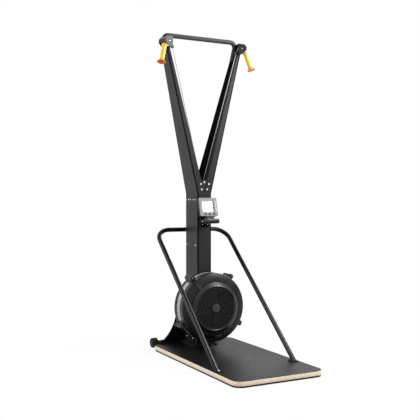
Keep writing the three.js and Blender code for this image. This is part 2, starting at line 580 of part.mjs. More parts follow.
for (const side of SIDES) {
  const holder = new THREE.Group();
  holder.position.set(side * HEAD.x, headY, headZ);
  holder.rotation.z = headTurn(side);
  machine.add(holder);

  // A folded housing: two cheeks, a roof and an outer wall, open below and towards the middle
  const o = HEAD_OUTLINE;
  const outline = [
    [-o.inner, -o.base],
    [o.floorEnd, -o.base],
    [o.outer, -o.outerLow],
    [o.outer, o.outerHigh],
    [HEAD_TOP.corner, HEAD_TOP.cornerRise],
    [-o.inner, HEAD_TOP.innerRise],
  ];
  const draw = (points) => shapeOf(points.map(([u, w]) => [side * u, w]));
  const shell = extrudeY(draw(outline), -HEAD.front, HEAD.back);
  const roofDrop = SHEET;
  const room = [
    [-o.inner - OVERRUN, -o.base + HEAD_FLOOR],
    [o.floorEnd, -o.base + HEAD_FLOOR],
    [o.floorEnd, -o.base - OVERRUN],
    [o.outer + OVERRUN, -o.base - OVERRUN],
    [o.outer + OVERRUN, -o.outerLow],
    [o.outer - SHEET, -o.outerLow],
    [o.outer - SHEET, o.outerHigh - SHEET / 2],
    [HEAD_TOP.corner - SHEET / 2, HEAD_TOP.cornerRise - roofDrop],
    [-o.inner, HEAD_TOP.innerRise - roofDrop],
    [-o.inner - OVERRUN, HEAD_TOP.innerRise - roofDrop],
  ];
  const inside = extrudeY(draw(room), -HEAD.front + SHEET, HEAD.back - SHEET);
  const web = extrudeY(
    draw([
      [HEAD_WEB.start, -o.base + SHEET],
      [HEAD_WEB.start + SHEET, -o.base + SHEET],
      [HEAD_WEB.start + SHEET, HEAD_WEB.rise + SHEET],
      [HEAD_WEB.start, HEAD_WEB.rise + SHEET],
    ]),
    HEAD_WEB.front,
    HEAD.back - SHEET / 2,
  );
  const axle = turnY(
    [
      [0, -HEAD.front + SHEET / 2],
      [HEAD.shoulder, -HEAD.front + SHEET / 2],
      [HEAD.shoulder, -HEAD_PULLEY.halfWidth - GAP],
      [HEAD.axle, -HEAD_PULLEY.halfWidth - GAP],
      [HEAD.axle, HEAD_PULLEY.halfWidth + GAP],
      [HEAD.shoulder, HEAD_PULLEY.halfWidth + GAP],
      [HEAD.shoulder, HEAD_WEB.front + SHEET],
      [0, HEAD_WEB.front + SHEET],
    ],
    PULLEY_SHAPE.segments,
  );

  // A guide block on a short neck; its hole leans with the cord
  const block = box(
    side * (GUIDE.u - GUIDE.half),
    side * (GUIDE.u + GUIDE.half),
    -GUIDE.depth,
    GUIDE.depth,
    GUIDE.w - GUIDE.rise,
    GUIDE.w + GUIDE.rise,
  );
  const neck = box(
    side * (GUIDE.u + GUIDE.half - SHEET),
    side * (-o.inner + SHEET),
    -GUIDE.neckHalf,
    GUIDE.neckHalf,
    -o.base,
    -o.base + HEAD_FLOOR,
  );
  const guideHole = solid(
    new THREE.CylinderGeometry(GUIDE.bore, GUIDE.bore, OVERRUN, PULLEY_SHAPE.segments)
      .rotateX(Math.PI / 2)
      .rotateY(rad(side * GUIDE.lean))
      .translate(side * GUIDE.u, 0, GUIDE.w),
  );

  // The handle's ring parks against the cheek, which is bitten away for it
  const away = localPull(side);
  const startAngle = leaveAngle(side);
  const start = new THREE.Vector3(
    side * HEAD_PULLEY.pitch * Math.cos(startAngle),
    0,
    HEAD_PULLEY.pitch * Math.sin(startAngle),
  );
  const biteRadius = RING.radius + RELIEF.clearance;
  const biteMiddle = HANDLE.top - RELIEF.above + RELIEF.length / 2;
  const bite = solid(
    new THREE.CylinderGeometry(biteRadius, biteRadius, RELIEF.length, PULLEY_SHAPE.segments)
      .applyQuaternion(new THREE.Quaternion().setFromUnitVectors(new THREE.Vector3(0, 1, 0), away))
      .translate(...start.clone().addScaledVector(away, biteMiddle).toArray()),
  );
  const housing = cut(join(cut(shell, inside), web, axle, block, neck), guideHole, bite);
  part(sided("head_housing", side), housing, ...BLACK, holder);
  part(sided("head_pulley", side), pulley(HEAD_PULLEY, 0, 0, 0), ...PLASTIC, holder);

  // Handle: an orange body with a ring and a bell, a yellow sleeve on it, and the cord's end with its knot
  const grip = new THREE.Group();
  grip.position.copy(cordStart(side));
  grip.quaternion.setFromUnitVectors(new THREE.Vector3(0, -1, 0), pullOf(side));
  machine.add(grip);
  const along = (profile) => profile.map(([r, s]) => [r, -s]);
  const body = turnY(
    along(
      closed([
        [HANDLE.hole, HANDLE.top],
        [RING.radius - GRIP_ROUND, HANDLE.top],
        [RING.radius, RING.full],
        [RING.radius, RING.fade],
        [RING.waistRadius, RING.waist],
        [RING.endRadius, RING.end],
        [HANDLE.core, RING.end],
        [HANDLE.core, BELL.start],
        [HANDLE.grip, BELL.start],
        [BELL.neckRadius, BELL.neck],
        [BELL.flareRadius, BELL.flare],
        [BELL.radius, BELL.lip],
        [BELL_HOLLOW.edgeRadius, BELL_HOLLOW.edge],
        [BELL_HOLLOW.innerRadius, BELL_HOLLOW.edge],
        [BELL_HOLLOW.throatRadius, BELL_HOLLOW.throat],
        [BELL_HOLLOW.throatRadius / 2, BELL_HOLLOW.roof],
        [HANDLE.hole, BELL_HOLLOW.roof],
      ]),
    ),
    HANDLE.segments,
  );
  part(sided("handle_body", side), body, 0xf28a3c, 0.5, 0, grip);
  const sleeve = turnY(
    along(
      closed([
        [HANDLE.core + GAP, RING.end + GAP],
        [HANDLE.grip - GRIP_ROUND / 2, RING.end + GAP],
        [HANDLE.grip, RING.end + GRIP_ROUND],
        [HANDLE.grip, BELL.start - GRIP_ROUND],
        [HANDLE.grip - GRIP_ROUND / 2, BELL.start - GAP],
        [HANDLE.core + GAP, BELL.start - GAP],
      ]),
    ),
    HANDLE.segments,
  );
  part(sided("handle_grip", side), sleeve, 0xf6dc4a, 0.55, 0, grip);
  const knotRise = Math.sqrt(KNOT.radius ** 2 - CORD.radius ** 2);
  const stub = turnY(
    along([
      [0, STUB_START],
      [CORD.radius, STUB_START],
      [CORD.radius, KNOT.at - knotRise],
      [KNOT.radius * Math.cos(rad(STRAIGHT / 3)), KNOT.at - KNOT.radius / 2],
      [KNOT.radius, KNOT.at],
      [KNOT.radius * Math.cos(rad(STRAIGHT / 3)), KNOT.at + KNOT.radius / 2],
      [0, KNOT.at + KNOT.radius],
    ]),
    CORD.sides,
  );
  part(sided("cord_stub", side), stub, ...CORD_GREY, grip);
}

// Redirect pulleys in the root of the fork, on bolts through the front flanges
for (const side of SIDES) {
  const a = REDIRECT_AXLE;
  const boltRadius = REDIRECT.bore - GAP;
  const flangeBack = gussetFront + GUSSET.thickness + GAP;
  const profile = [
    [0, mastFront - GAP - a.headDepth],
    [a.head, mastFront - GAP - a.headDepth],
    [a.head, mastFront - GAP],
    [boltRadius, mastFront - GAP],
    [boltRadius, flangeBack],
    [a.shoulder, flangeBack],
    [a.shoulder, redirectY - REDIRECT.halfWidth - GAP],
    [boltRadius, redirectY - REDIRECT.halfWidth - GAP],
    [boltRadius, redirectY + REDIRECT.halfWidth + GAP],
    [a.shoulder, redirectY + REDIRECT.halfWidth + GAP],
    [a.shoulder, redirectY + REDIRECT.halfWidth + GAP + a.collar],
    [0, redirectY + REDIRECT.halfWidth + GAP + a.collar],
  ];
  const x = side * REDIRECT.x;
  part(sided("redirect_axle", side), turnY(profile, PULLEY_SHAPE.segments, x, redirectZ), ...STEEL);
  part(sided("redirect_pulley", side), pulley(REDIRECT, redirectY, x, redirectZ), ...PLASTIC);
}

// Drive cord: over the head pulley, through the guide, down the fork, past the redirect pulley, inside the
// mast and on to its drum. Angles are of the contact points on each wheel, in X and Z, mirrored on the left.
function cordRoute(side) {
  const points = [];
  const arc = (place, from, to, steps) => {
    for (let i = 0; i <= steps; i++) points.push(place(from + ((to - from) * i) / steps, i / steps));
  };
  const gu = GUIDE.u;
  const gw = GUIDE.w;
  const guideReach = Math.hypot(gu, gw);
  const arrive = Math.atan2(gw, gu) - Math.acos(HEAD_PULLEY.pitch / guideReach);
  const overHead = arrive + 2 * Math.PI;
  const onHead = (angle) =>
    headPoint(side, HEAD_PULLEY.pitch * Math.cos(angle), 0, HEAD_PULLEY.pitch * Math.sin(angle));
  arc(onHead, leaveAngle(side), overHead, 9);
  const guide = headPoint(side, gu, 0, gw);
  points.push(guide);

  // the tangent from the guide to the redirect pulley's inner side, in the mirrored X
  const gx = side * guide.x - REDIRECT.x;
  const gz = guide.z - redirectZ;
  const touch = Math.atan2(gz, gx) + Math.acos(REDIRECT.pitch / Math.hypot(gx, gz));
  const drumRadius = DRUM.layer + CORD.radius + GAP;
  const dz = redirectZ - fanZ;
  const same = side > 0 ? 1 : -1;
  const span = Math.hypot(REDIRECT.x, dz);
  const leave = Math.atan2(dz, REDIRECT.x) + Math.acos((same * drumRadius - REDIRECT.pitch) / span);
  const onRedirect = (angle) =>
    new THREE.Vector3(
      side * (REDIRECT.x + REDIRECT.pitch * Math.cos(angle)),
      redirectY,
      redirectZ + REDIRECT.pitch * Math.sin(angle),
    );
  arc(onRedirect, touch, leave, 3);

  const drumY = mastFront + (side > 0 ? DRUM_PLACE.right : DRUM_PLACE.left) - DRUM_CORD.shift / 2;
  const from = side > 0 ? leave : leave + Math.PI;
  const to = from + same * rad(FULL_TURN) * DRUM_CORD.turns;
  const onDrum = (angle, share) =>
    new THREE.Vector3(
      side * drumRadius * Math.cos(angle),
      drumY + DRUM_CORD.shift * DRUM_CORD.turns * share,
      fanZ + drumRadius * Math.sin(angle),
    );
  arc(onDrum, from, to, DRUM_CORD.steps);
  return points;
}
for (const side of SIDES) {
  const made = tube(cordRoute(side), ringShape(CORD.radius, CORD.sides));
  part(sided("drive_cord", side), made, ...CORD_GREY);
}

// Cord drums on the axle, wound with the cord's inner layer
for (const side of SIDES) {
  const y = mastFront + (side > 0 ? DRUM_PLACE.right : DRUM_PLACE.left);
  const inner = DRUM.halfWidth - DRUM.cheek;
  const pitch = (2 * inner) / DRUM.turns;
  const layer = [];
  for (let i = 0; i < DRUM.turns; i++) {
    const start = -inner + pitch * i;
    layer.push([DRUM.layer - CORD.radius, y + start]);
    layer.push([DRUM.layer, y + start + pitch / 2]);
  }
  layer.push([DRUM.layer - CORD.radius, y + inner]);
  const profile = closed([
    [AXLE.bore, y - DRUM.halfWidth],
    [DRUM.flange, y - DRUM.halfWidth],
    [DRUM.flange, y - inner],
    ...layer,
    [DRUM.flange, y + inner],
    [DRUM.flange, y + DRUM.halfWidth],
    [AXLE.bore, y + DRUM.halfWidth],
  ]);
  part(sided("cord_drum", side), turnY(profile, DRUM.segments, 0, fanZ), ...PLASTIC);
}
{
  const s = SPRING_CASE;
  const y = mastFront + s.start;
  const profile = closed([
    [AXLE.bore, y],
    [s.hub, y],
    [s.hub, y + s.step],
    [s.radius, y + s.step],
    [s.radius, y + s.length],
    [AXLE.bore, y + s.length],
  ]);
  part("return_spring_case", turnY(profile, s.segments, 0, fanZ), ...PLASTIC);
}
part("fan_axle", rodY(AXLE.radius, fanFront - AXLE.front, mastBack, 0, fanZ, DRUM.segments), ...STEEL);

// Handrail, its feet and the saddle that holds it behind the mast
{
  const lean = rad(RAIL.lean);
  const railX = DECK.width / 2 - RAIL.fromEdge;
  const at = (x, s) =>
    new THREE.Vector3(x, mastFront - RAIL.beforeMast + s * Math.cos(lean), deckTop + s * Math.sin(lean));
  const half = [at(railX, -OVERRUN)];
  for (let i = 0; i <= RAIL_MESH.bendSteps; i++) {
    const angle = ((Math.PI / 2) * i) / RAIL_MESH.bendSteps;
    const x = railX - RAIL.bend + RAIL.bend * Math.cos(angle);
    half.push(at(x, RAIL.reach - RAIL.bend + RAIL.bend * Math.sin(angle)));
  }
  const left = half.map((p) => new THREE.Vector3(-p.x, p.y, p.z)).reverse();
  const section = ringShape(
    RAIL.radius,
    RAIL_MESH.outerSides,
    RAIL.radius - RAIL.wall,
    RAIL_MESH.innerSides,
  );
  const footTop = deckTop + GAP + RAIL_FOOT.thickness;
  const below = box(-DECK.width, DECK.width, deckFront, deckBack, -OVERRUN * 2, footTop + GAP);
  part("handrail", cut(tube([...half, ...left], section), below), ...BLACK);

  const landing = (footTop - deckTop) / Math.tan(lean);
  const footY = mastFront - RAIL.beforeMast + landing;
  const f = RAIL_FOOT;
  for (const side of SIDES) {
    const x = side * (DECK.width / 2 - f.width / 2 - f.fromEdge);
    const shape = shapeOf(
      roundedBox(
        x - f.width / 2,
        x + f.width / 2,
        footY - f.length / 2,
        footY + f.length / 2,
        f.corner,
        KEY.arcSteps,
      ),
    );
    part(sided("handrail_foot", side), extrudeZ(shape, deckTop + GAP, footTop), ...BLACK);
  }

  const top = at(0, RAIL.reach);
  const seat = rodX(RAIL.radius + GAP, -DECK.width, DECK.width, top.y, top.z, RAIL_MESH.outerSides);
  const block = box(
    -SADDLE.halfWidth,
    SADDLE.halfWidth,
    mastBack + GAP,
    top.y,
    top.z - SADDLE.halfHeight,
    top.z + SADDLE.halfHeight,
  );
  part("handrail_saddle", cut(block, seat), ...BLACK);
}

// Transport wheels and the brackets that carry them behind the deck
for (const side of SIDES) {
  const w = WHEEL;
  const s = WHEEL_SHAPE;
  const axleY = deckBack + w.behind;
  const axleZ = w.radius + w.offFloor;
  const outer = DECK.width / 2 - w.fromEdge;
  const inner = outer - w.width;
  const bore = w.pin + GAP;
  const tyre = [
    [bore, inner],
    [w.radius - s.shoulder, inner],
    [w.radius - s.rib, inner + s.shoulder / 2],
    [w.radius, inner + s.shoulder + s.rib],
    [w.radius, outer - s.shoulder - s.rib],
    [w.radius - s.rib, outer - s.shoulder / 2],
    [w.radius - s.shoulder, outer],
    [s.hub, outer],
    [s.hub, outer - s.hubRecess],
    [bore, outer - s.hubRecess],
  ];
  const points = closed(tyre).map(([r, x]) => new THREE.Vector2(r, x));
  const wheel = solid(
    new THREE.LatheGeometry(points, s.segments)
      .rotateZ((-side * Math.PI) / 2)
      .translate(0, axleY, axleZ),
  );
  part(sided("transport_wheel", side), wheel, 0x1f1f20, 0.7, 0);

  const a = WHEEL_ARM;
  const plateOuter = inner - GAP;
  const plateInner = plateOuter - a.thickness;
  const footZ = deckTop + GAP;
  const footY = flareFront + FLARE.thickness + GAP;
  const plate = extrudeX(
    shapeOf([
      [footY, footZ],
      [deckBack + GAP, footZ],
      [axleY - a.nose, axleZ - a.nose],
      [axleY, axleZ - a.nose],
      [axleY + a.nose, axleZ],
      [axleY + a.nose, axleZ + a.nose / 2],
      [footY, footZ + a.rise],
    ]),
    Math.min(side * plateOuter, side * plateInner),
    Math.max(side * plateOuter, side * plateInner),
  );
  const foot = box(
    side * (plateInner + a.thickness / 2),
    side * (plateInner - a.foot),
    footY,
    footY + a.footDepth,
    footZ,
    footZ + a.rise,
  );
  const pin = rodX(w.pin, side * (plateOuter - a.thickness / 2), side * (outer - GAP), axleY, axleZ, s.segments);
  const cap = rodX(w.cap, side * (outer - s.hubRecess + GAP), side * (outer - GAP), axleY, axleZ, s.segments);
  part(sided("wheel_bracket", side), join(plate, foot, pin, cap), ...BLACK);
}

// Fan housing
const polar = (radius, degrees) => [radius * Math.cos(rad(degrees)), fanZ + radius * Math.sin(rad(degrees))];
const bosses = (y0, y1) =>
  cut(
    join(
      bossTurnShares.map((share) =>
        rodY(BOSS.radius, y0, y1, ...polar(BOSS.orbit, FULL_TURN * share), BOSS.segments),
      ),
    ),
    rodY(FAN.radius - FAN.wall + BOSS.clearance, fanFront - OVERRUN, mastFront, 0, fanZ, FAN.segments),
  );
const bossSeam = fanFront + BOSS.seam;
{
  const inner = FAN.radius - FAN.wall;
  const dish = turnY(
    closed([
      [AXLE.bore, fanBack - FAN.wall],
      [inner, fanBack - FAN.wall],
      [inner, fanBack - REAR_RIM.depth],
      [FAN.radius, fanBack - REAR_RIM.depth],
      [FAN.radius, fanBack],
      [AXLE.bore, fanBack],
    ]),
    FAN.segments,
    0,
    fanZ,
  );
  const pad = box(
    -REAR_RIM.padHalf,
    REAR_RIM.padHalf,
    fanBack - FAN.wall / 2,
    mastFront - GAP,
    fanZ - REAR_RIM.pad,
    fanZ + REAR_RIM.pad,
  );
  const made = cut(join(dish, pad, bosses(bossSeam + GAP, fanBack - BOSS.fromBack)), axleBore);
  part("fan_rear_cover", cut(made, rodY(AXLE.bore, fanFront, mastFront, 0, fanZ, DRUM.segments)), ...PLASTIC);
}
{
  // two staggered rows of slots round the edge
  const outer = FAN.radius - FAN.wall - GAP;
  const inner = outer - SCREEN.wall;
  const y0 = fanFront + FRONT_RIM.depth - SCREEN.frontLap;
  const y1 = fanBack - REAR_RIM.depth + SCREEN.rearLap;
  const band = turnY(
    closed([
      [inner, y0],
      [outer, y0],
      [outer, y1],
      [inner, y1],
    ]),
    FAN.segments,
    0,
    fanZ,
  );
  const bandStart = fanFront + FRONT_RIM.depth;
  const bandEnd = fanBack - REAR_RIM.depth;
  const row = (bandEnd - bandStart) / SCREEN.rows;
  const step = FULL_TURN / SCREEN.slots;
  const half = (outer * rad(step) * slotShare) / 2;
  const slots = [];
  for (let r = 0; r < SCREEN.rows; r++) {
    for (let i = 0; i < SCREEN.slots; i++) {
      const angle = rad(step * (i + r / 2));
      const slot = new THREE.BoxGeometry(SCREEN.wall + SCREEN.wall, row - SCREEN.land, 2 * half)
        .translate(outer - SCREEN.wall / 2, bandStart + row * r + row / 2, 0)
        .rotateY(-angle)
        .translate(0, 0, fanZ);
      slots.push(solid(slot));
    }
  }
  part("fan_screen", cut(band, join(slots)), ...MESH_METAL);
}
{
  const f = FRONT_RIM;
  const face = fanFront - f.cone;
  const rimY = fanFront - f.shoulderDepth;
  const shoulderR = FAN.radius - f.shoulder;
  const shell = turnY(
    closed([
      [f.opening, face],
      [f.coneRadius, face],
      [shoulderR, rimY],
      [FAN.radius - FAN.wall, fanFront - f.shoulderDepth / 2],
      [FAN.radius, fanFront],
      [FAN.radius, fanFront + f.depth],
      [FAN.radius - FAN.wall, fanFront + f.depth],
      [FAN.radius - FAN.wall, fanFront + FAN.wall],
      [shoulderR - FAN.wall / 2, rimY + FAN.wall],
      [f.coneRadius, face + FAN.wall],
      [f.opening, face + FAN.wall],
    ]),
    FAN.segments,
    0,
    fanZ,
  );
  // an arched slot below the bezel
  const s = SCALE_SLOT;
  const edge = (radius, from, to) =>
    Array.from({ length: s.steps + 1 }, (_, i) => polar(radius, from + ((to - from) * i) / s.steps));
  const slot = extrudeY(
    shapeOf([...edge(s.inner, s.from, s.to), ...edge(s.outer, s.to, s.from)]),
    face,
    fanFront + OVERRUN,
  );
  const lugs = bosses(fanFront + BOSS.start, bossSeam);
  part("fan_front_cover", join(cut(shell, slot), lugs), ...PLASTIC);
}
{
  const g = GRILLE;
  const front = fanFront - GRILLE_SKIRT.front;
  // the bezel turns round the skirt, clear of the flats between its corners
  const skirtOuter = BEZEL.inner * Math.cos(Math.PI / FAN.segments) - GAP;
  const ring = (outer, wall, y0, y1) =>
    turnY(
      closed([
        [outer - wall, y0],
        [outer, y0],
        [outer, y1],
        [outer - wall, y1],
      ]),
      g.segments,
      0,
      fanZ,
    );
  const pieces = [];
  const seat = fanFront - FRONT_RIM.cone - GAP;
  pieces.push(
    turnY(
      closed([
        [skirtOuter - GRILLE_SKIRT.wall, front],
        [skirtOuter, front],
        [skirtOuter, seat],
        [skirtOuter - GRILLE_SKIRT.wall, seat],
      ]),
      FAN.segments,
      0,
      fanZ,
    ),
  );
  for (let i = 1; i <= g.rings; i++) {
    const outer = g.cap + g.pitch * i + g.ringWidth / 2;
    pieces.push(ring(outer, g.ringWidth, front, front + g.ringDepth));
  }
  const spokeY = fanFront - GRILLE_SPOKE.front;
  for (const share of spokeTurnShares) {
    const reach = skirtOuter - GRILLE_SKIRT.wall / 2;
    const spoke = new THREE.BoxGeometry(reach, GRILLE_SPOKE.depth, GRILLE_SPOKE.width)
      .translate(reach / 2, spokeY + GRILLE_SPOKE.depth / 2, 0)
      .rotateY(-rad(FULL_TURN * share))
      .translate(0, 0, fanZ);
    pieces.push(solid(spoke));
  }
  const h = GRILLE_HUB;
  const capFront = fanFront - h.front;
  const axleFront = fanFront - AXLE.front - GAP;
  pieces.push(
    turnY(
      [
        [0, capFront],
        [h.face, capFront],
        [g.cap, capFront + h.shoulder],
        [g.cap, front + g.ringDepth],
        [h.boss, front + g.ringDepth],
        [h.boss, fanFront - h.bossEnd],
        [AXLE.bore, fanFront - h.bossEnd],
        [AXLE.bore, axleFront],
        [0, axleFront],
      ],
      g.segments,
      0,
      fanZ,
    ),
  );
  part("fan_grille", join(pieces), ...PLASTIC);
}
{
  // damper ring: a rounded bezel and a lever that lies along the cone
  const b = BEZEL;
  const back = fanFront - b.back;
  const crest = fanFront - b.crest;
  const depth = back - crest;
  const ring = turnY(
    closed([
      [b.inner, back],
      [b.inner, crest + depth / 2],
      [b.inner + (b.mid - b.inner) / 2, crest + depth / 8],
      [b.mid, crest],
      [b.mid + (b.outer - b.mid) / 2, crest + depth / 4],
      [b.outer, crest + depth - depth / 3],
      [b.outer, back],
    ]),
    FAN.segments,
    0,
    fanZ,
  );
  const l = LEVER;
  const f = FRONT_RIM;
  const slope = (f.cone - f.shoulderDepth) / (FAN.radius - f.shoulder - f.coneRadius);
  const under = (r) => fanFront - f.cone + (r - f.coneRadius) * slope - l.clearance;
  const bladeShape = shapeOf([
    [l.inner, under(b.outer)],
    [b.outer, under(b.outer)],
    [l.outer, under(l.outer)],
    [l.outer, under(l.outer) - l.thickness - l.lipRise],
    [l.outer - l.lip, under(l.outer - l.lip) - l.thickness - l.lipRise],
    [l.outer - l.lip, under(l.outer - l.lip) - l.thickness],
    [b.outer, under(b.outer) - l.thickness],
    [l.inner, under(b.outer) - l.thickness],
  ]);
  const blade = new THREE.ExtrudeGeometry(bladeShape, { depth: l.width, bevelEnabled: false })
    .translate(0, 0, -l.width / 2)
    .rotateY(-rad(l.angle))
    .translate(0, 0, fanZ);
  part("damper_ring", join(ring, solid(blade)), ...PLASTIC);
}
{
  const w = FANWHEEL;
  const b = BLADES;
  const y0 = fanFront + w.back;
  const y1 = y0 + w.bladeDepth;
  const spine = turnY(
    closed([
      [AXLE.bore, y0],
      [w.hub, y0],
      [w.hub, y1],
      [w.disc, y1],
      [w.disc, y1 + w.discDepth],
      [w.hub, y1 + w.discDepth],
      [w.hub, y0 + w.hubDepth],
      [AXLE.bore, y0 + w.hubDepth],
    ]),
    w.segments,
    0,
    fanZ,
  );
  // each blade curves back as it runs outwards
  const side = (offset) =>
    Array.from({ length: b.steps + 1 }, (_, i) => {
      const share = i / b.steps;
      const radius = b.inner + (b.outer - b.inner) * share;
      const angle = rad(b.sweep) * share * share + offset / radius;
      return [radius * Math.cos(angle), radius * Math.sin(angle)];
    });
  const bladeShape = shapeOf([...side(0), ...side(b.thickness).reverse()]);
  const blades = [];
  for (let i = 0; i < b.count; i++) {
    const blade = flat(bladeShape, w.bladeDepth + w.discDepth / 2)
      .rotateX(Math.PI / 2)
      .translate(0, y1 + w.discDepth / 2, 0)
      .rotateY(rad((FULL_TURN * i) / b.count))
      .translate(0, 0, fanZ);
    blades.push(solid(blade));
  }
  part("fan_wheel", join(spine, blades), ...PLASTIC);
}

// Monitor: a bracket with two ears and a pin, and a case that tilts on its barrel
{
  const e = EAR;
  const earRoot = mastFront - GAP - e.pad;
  const earOuter = BARREL.half + GAP + e.thickness;
  const plateBack = earRoot;
  const plateFront = earRoot - e.plate;
  const z0 = barrelZ - e.halfHeight;
  const z1 = barrelZ + e.halfHeight;
  const ears = SIDES.map((side) =>
    extrudeZ(
      shapeOf([
        [side * (earOuter - e.thickness), barrelY - e.front],
        [side * earOuter, barrelY - e.front],
        [side * earOuter, barrelY + e.straight],
        [side * (e.rootHalf + e.thickness), plateBack],
        [side * e.rootHalf, plateBack],
        [side * (earOuter - e.thickness), barrelY + e.straight - e.thickness / 2],
      ]),
      z0,
      z1,
    ),
  );
  const plate = box(-e.rootHalf - e.thickness / 2, e.rootHalf + e.thickness / 2, plateFront, plateBack, z0, z1);
  const pad = box(
    -PAD.half,
    PAD.half,
    plateBack - e.plate / 2,
    mastFront - GAP,
    barrelZ - PAD.low,
    barrelZ + PAD.high,
  );
  const pin = rodX(BARREL.pin, -earOuter + GAP, earOuter - GAP, barrelY, barrelZ, BARREL.segments);
  part("monitor_bracket", join(ears, plate, pad, pin), ...BLACK);
}
{
  // the case is drawn upright: x across, y into the case, z up its front face from the lower edge
  const c = CASE;
  const holder = new THREE.Group();
  holder.position.set(0, barrelY + CASE_PLACE.behindBarrel, barrelZ + CASE_PLACE.aboveBarrel + KEY.proud);
  holder.rotation.x = -rad(c.tilt);
  machine.add(holder);
  holder.updateMatrixWorld(true);
  const local = (y, z) => holder.worldToLocal(new THREE.Vector3(0, y, z));
  const barrelAt = local(barrelY, barrelZ);

  // a pale front frame over a black rear shell, which has the neck and the barrel
  const half = c.width / 2;
  const outline = shapeOf(roundedBox(-half, half, 0, c.height, c.corner, KEY.arcSteps));
  const shellOutline = shapeOf(roundedBox(GAP - half, half - GAP, GAP, c.height - GAP, c.corner, KEY.arcSteps));
  const shell = extrudeY(shellOutline, c.front + GAP, c.depth);
  const barrel = rodX(BARREL.radius, -BARREL.half, BARREL.half, barrelAt.y, barrelAt.z, BARREL.segments);
  const n = NECK;
  const neck = extrudeX(
    shapeOf([
      [barrelAt.y - n.low, barrelAt.z + n.reach],
      [barrelAt.y + n.low, barrelAt.z - n.reach],
      [n.back, 0],
      [n.back, n.high],
      [n.reach, n.high],
    ]),
    -n.half,
    n.half,
  );
  const window = shapeOf(roundedBox(LCD.left, LCD.right, LCD.low, LCD.high, LCD.corner, KEY.arcSteps));
  const inset = (amount) =>
    shapeOf(
      roundedBox(
        LCD.left + amount,
        LCD.right - amount,
        LCD.low + amount,
        LCD.high - amount,
        LCD.corner,
        KEY.arcSteps,
      ),
    );
  const keyShape = (k, x, z, grow) =>
    shapeOf(
      roundedBox(
        x - k.halfWidth - grow,
        x + k.halfWidth + grow,
        z - k.halfHeight - grow,
        z + k.halfHeight + grow,
        k.corner,
        KEY.arcSteps,
      ),
    );
  const keys = [];
  DARK_KEY.xs.forEach((x, i) => keys.push(["monitor_key_dark_" + (i + 1), DARK_KEY, x, DARK_KEY.height, 0x3c3c3e]));
  for (let i = 0; i < WHITE_KEY.count; i++) {
    const z = WHITE_KEY.low + WHITE_KEY.pitch * i;
    keys.push(["monitor_key_white_" + (i + 1), WHITE_KEY, WHITE_KEY.x, z, 0xe8e8ea]);
  }
  const pockets = keys.map(([, k, x, z]) => extrudeY(keyShape(k, x, z, GAP), -OVERRUN, KEY.pocket));
  const bore = rodX(BARREL.bore, -c.width, c.width, barrelAt.y, barrelAt.z, BARREL.segments);
  const recess = extrudeY(window, -OVERRUN, LCD.recess);
  const frontRoom = box(-half, half, -OVERRUN, c.front + GAP, -GAP, c.height);
  part("monitor_case", cut(join(shell, cut(neck, frontRoom), barrel), bore), ...PLASTIC, holder);
  part("monitor_front", cut(extrudeY(outline, 0, c.front), recess, pockets), 0xc9c9c6, 0.5, 0, holder);
  const screenBack = LCD.recess - GAP;
  const screen = extrudeY(inset(GAP), screenBack - LCD.thickness, screenBack);
  part("monitor_screen", screen, 0xf0f1e8, 0.25, 0, holder);
  for (const [name, k, x, z, color] of keys) {
    part(name, extrudeY(keyShape(k, x, z, 0), -KEY.proud, KEY.depth - KEY.proud), color, 0.6, 0, holder);
  }
}

export default machine;
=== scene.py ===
import json
import math

import bmesh
import bpy
from mathutils import Matrix, Vector

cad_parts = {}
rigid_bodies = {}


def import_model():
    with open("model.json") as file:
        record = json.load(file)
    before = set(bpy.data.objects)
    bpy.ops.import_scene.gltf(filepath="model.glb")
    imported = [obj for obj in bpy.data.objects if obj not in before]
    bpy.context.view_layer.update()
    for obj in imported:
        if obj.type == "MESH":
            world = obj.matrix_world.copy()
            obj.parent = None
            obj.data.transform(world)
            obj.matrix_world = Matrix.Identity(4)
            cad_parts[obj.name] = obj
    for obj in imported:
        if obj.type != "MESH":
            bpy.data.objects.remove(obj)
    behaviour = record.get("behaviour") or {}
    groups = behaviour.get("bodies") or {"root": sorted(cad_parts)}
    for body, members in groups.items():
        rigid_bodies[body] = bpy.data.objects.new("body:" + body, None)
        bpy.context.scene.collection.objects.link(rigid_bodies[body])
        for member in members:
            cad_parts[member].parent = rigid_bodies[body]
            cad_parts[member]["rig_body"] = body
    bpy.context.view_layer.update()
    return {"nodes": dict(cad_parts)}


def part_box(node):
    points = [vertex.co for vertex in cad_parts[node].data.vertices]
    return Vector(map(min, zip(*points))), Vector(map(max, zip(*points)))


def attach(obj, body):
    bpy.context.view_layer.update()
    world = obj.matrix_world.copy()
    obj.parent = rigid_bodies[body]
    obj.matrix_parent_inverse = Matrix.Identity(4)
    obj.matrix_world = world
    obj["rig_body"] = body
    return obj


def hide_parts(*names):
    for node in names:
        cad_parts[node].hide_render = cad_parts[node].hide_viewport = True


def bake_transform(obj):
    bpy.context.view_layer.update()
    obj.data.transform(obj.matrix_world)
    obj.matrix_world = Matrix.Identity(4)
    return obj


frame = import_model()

NODES = frame["nodes"]
SIDES = (("left", -1), ("right", 1))

# The photograph's viewpoint
bpy.ops.object.camera_add(
    location=(-2.3675, -4.1899, 1.0989),
    rotation=(math.radians(88.94), 0, math.radians(-27.99)),
)
camera = bpy.context.object
camera.name = "viewpoint"
camera.data.lens = 61.81
camera.data.sensor_width = 36
bpy.context.scene.camera = camera
bpy.context.scene.view_settings.view_transform = "Standard"


# Finishes


def paint(red, green, blue):
    """A colour as the eye reads it on a chart, 0 to 255, as a lamp-lit colour."""
    shown = [c / 255 for c in (red, green, blue)]
    lit = [c / 12.92 if c < 0.04045 else ((c + 0.055) / 1.055) ** 2.4 for c in shown]
    return (*lit, 1)


def grey(level):
    return paint(level, level, level)


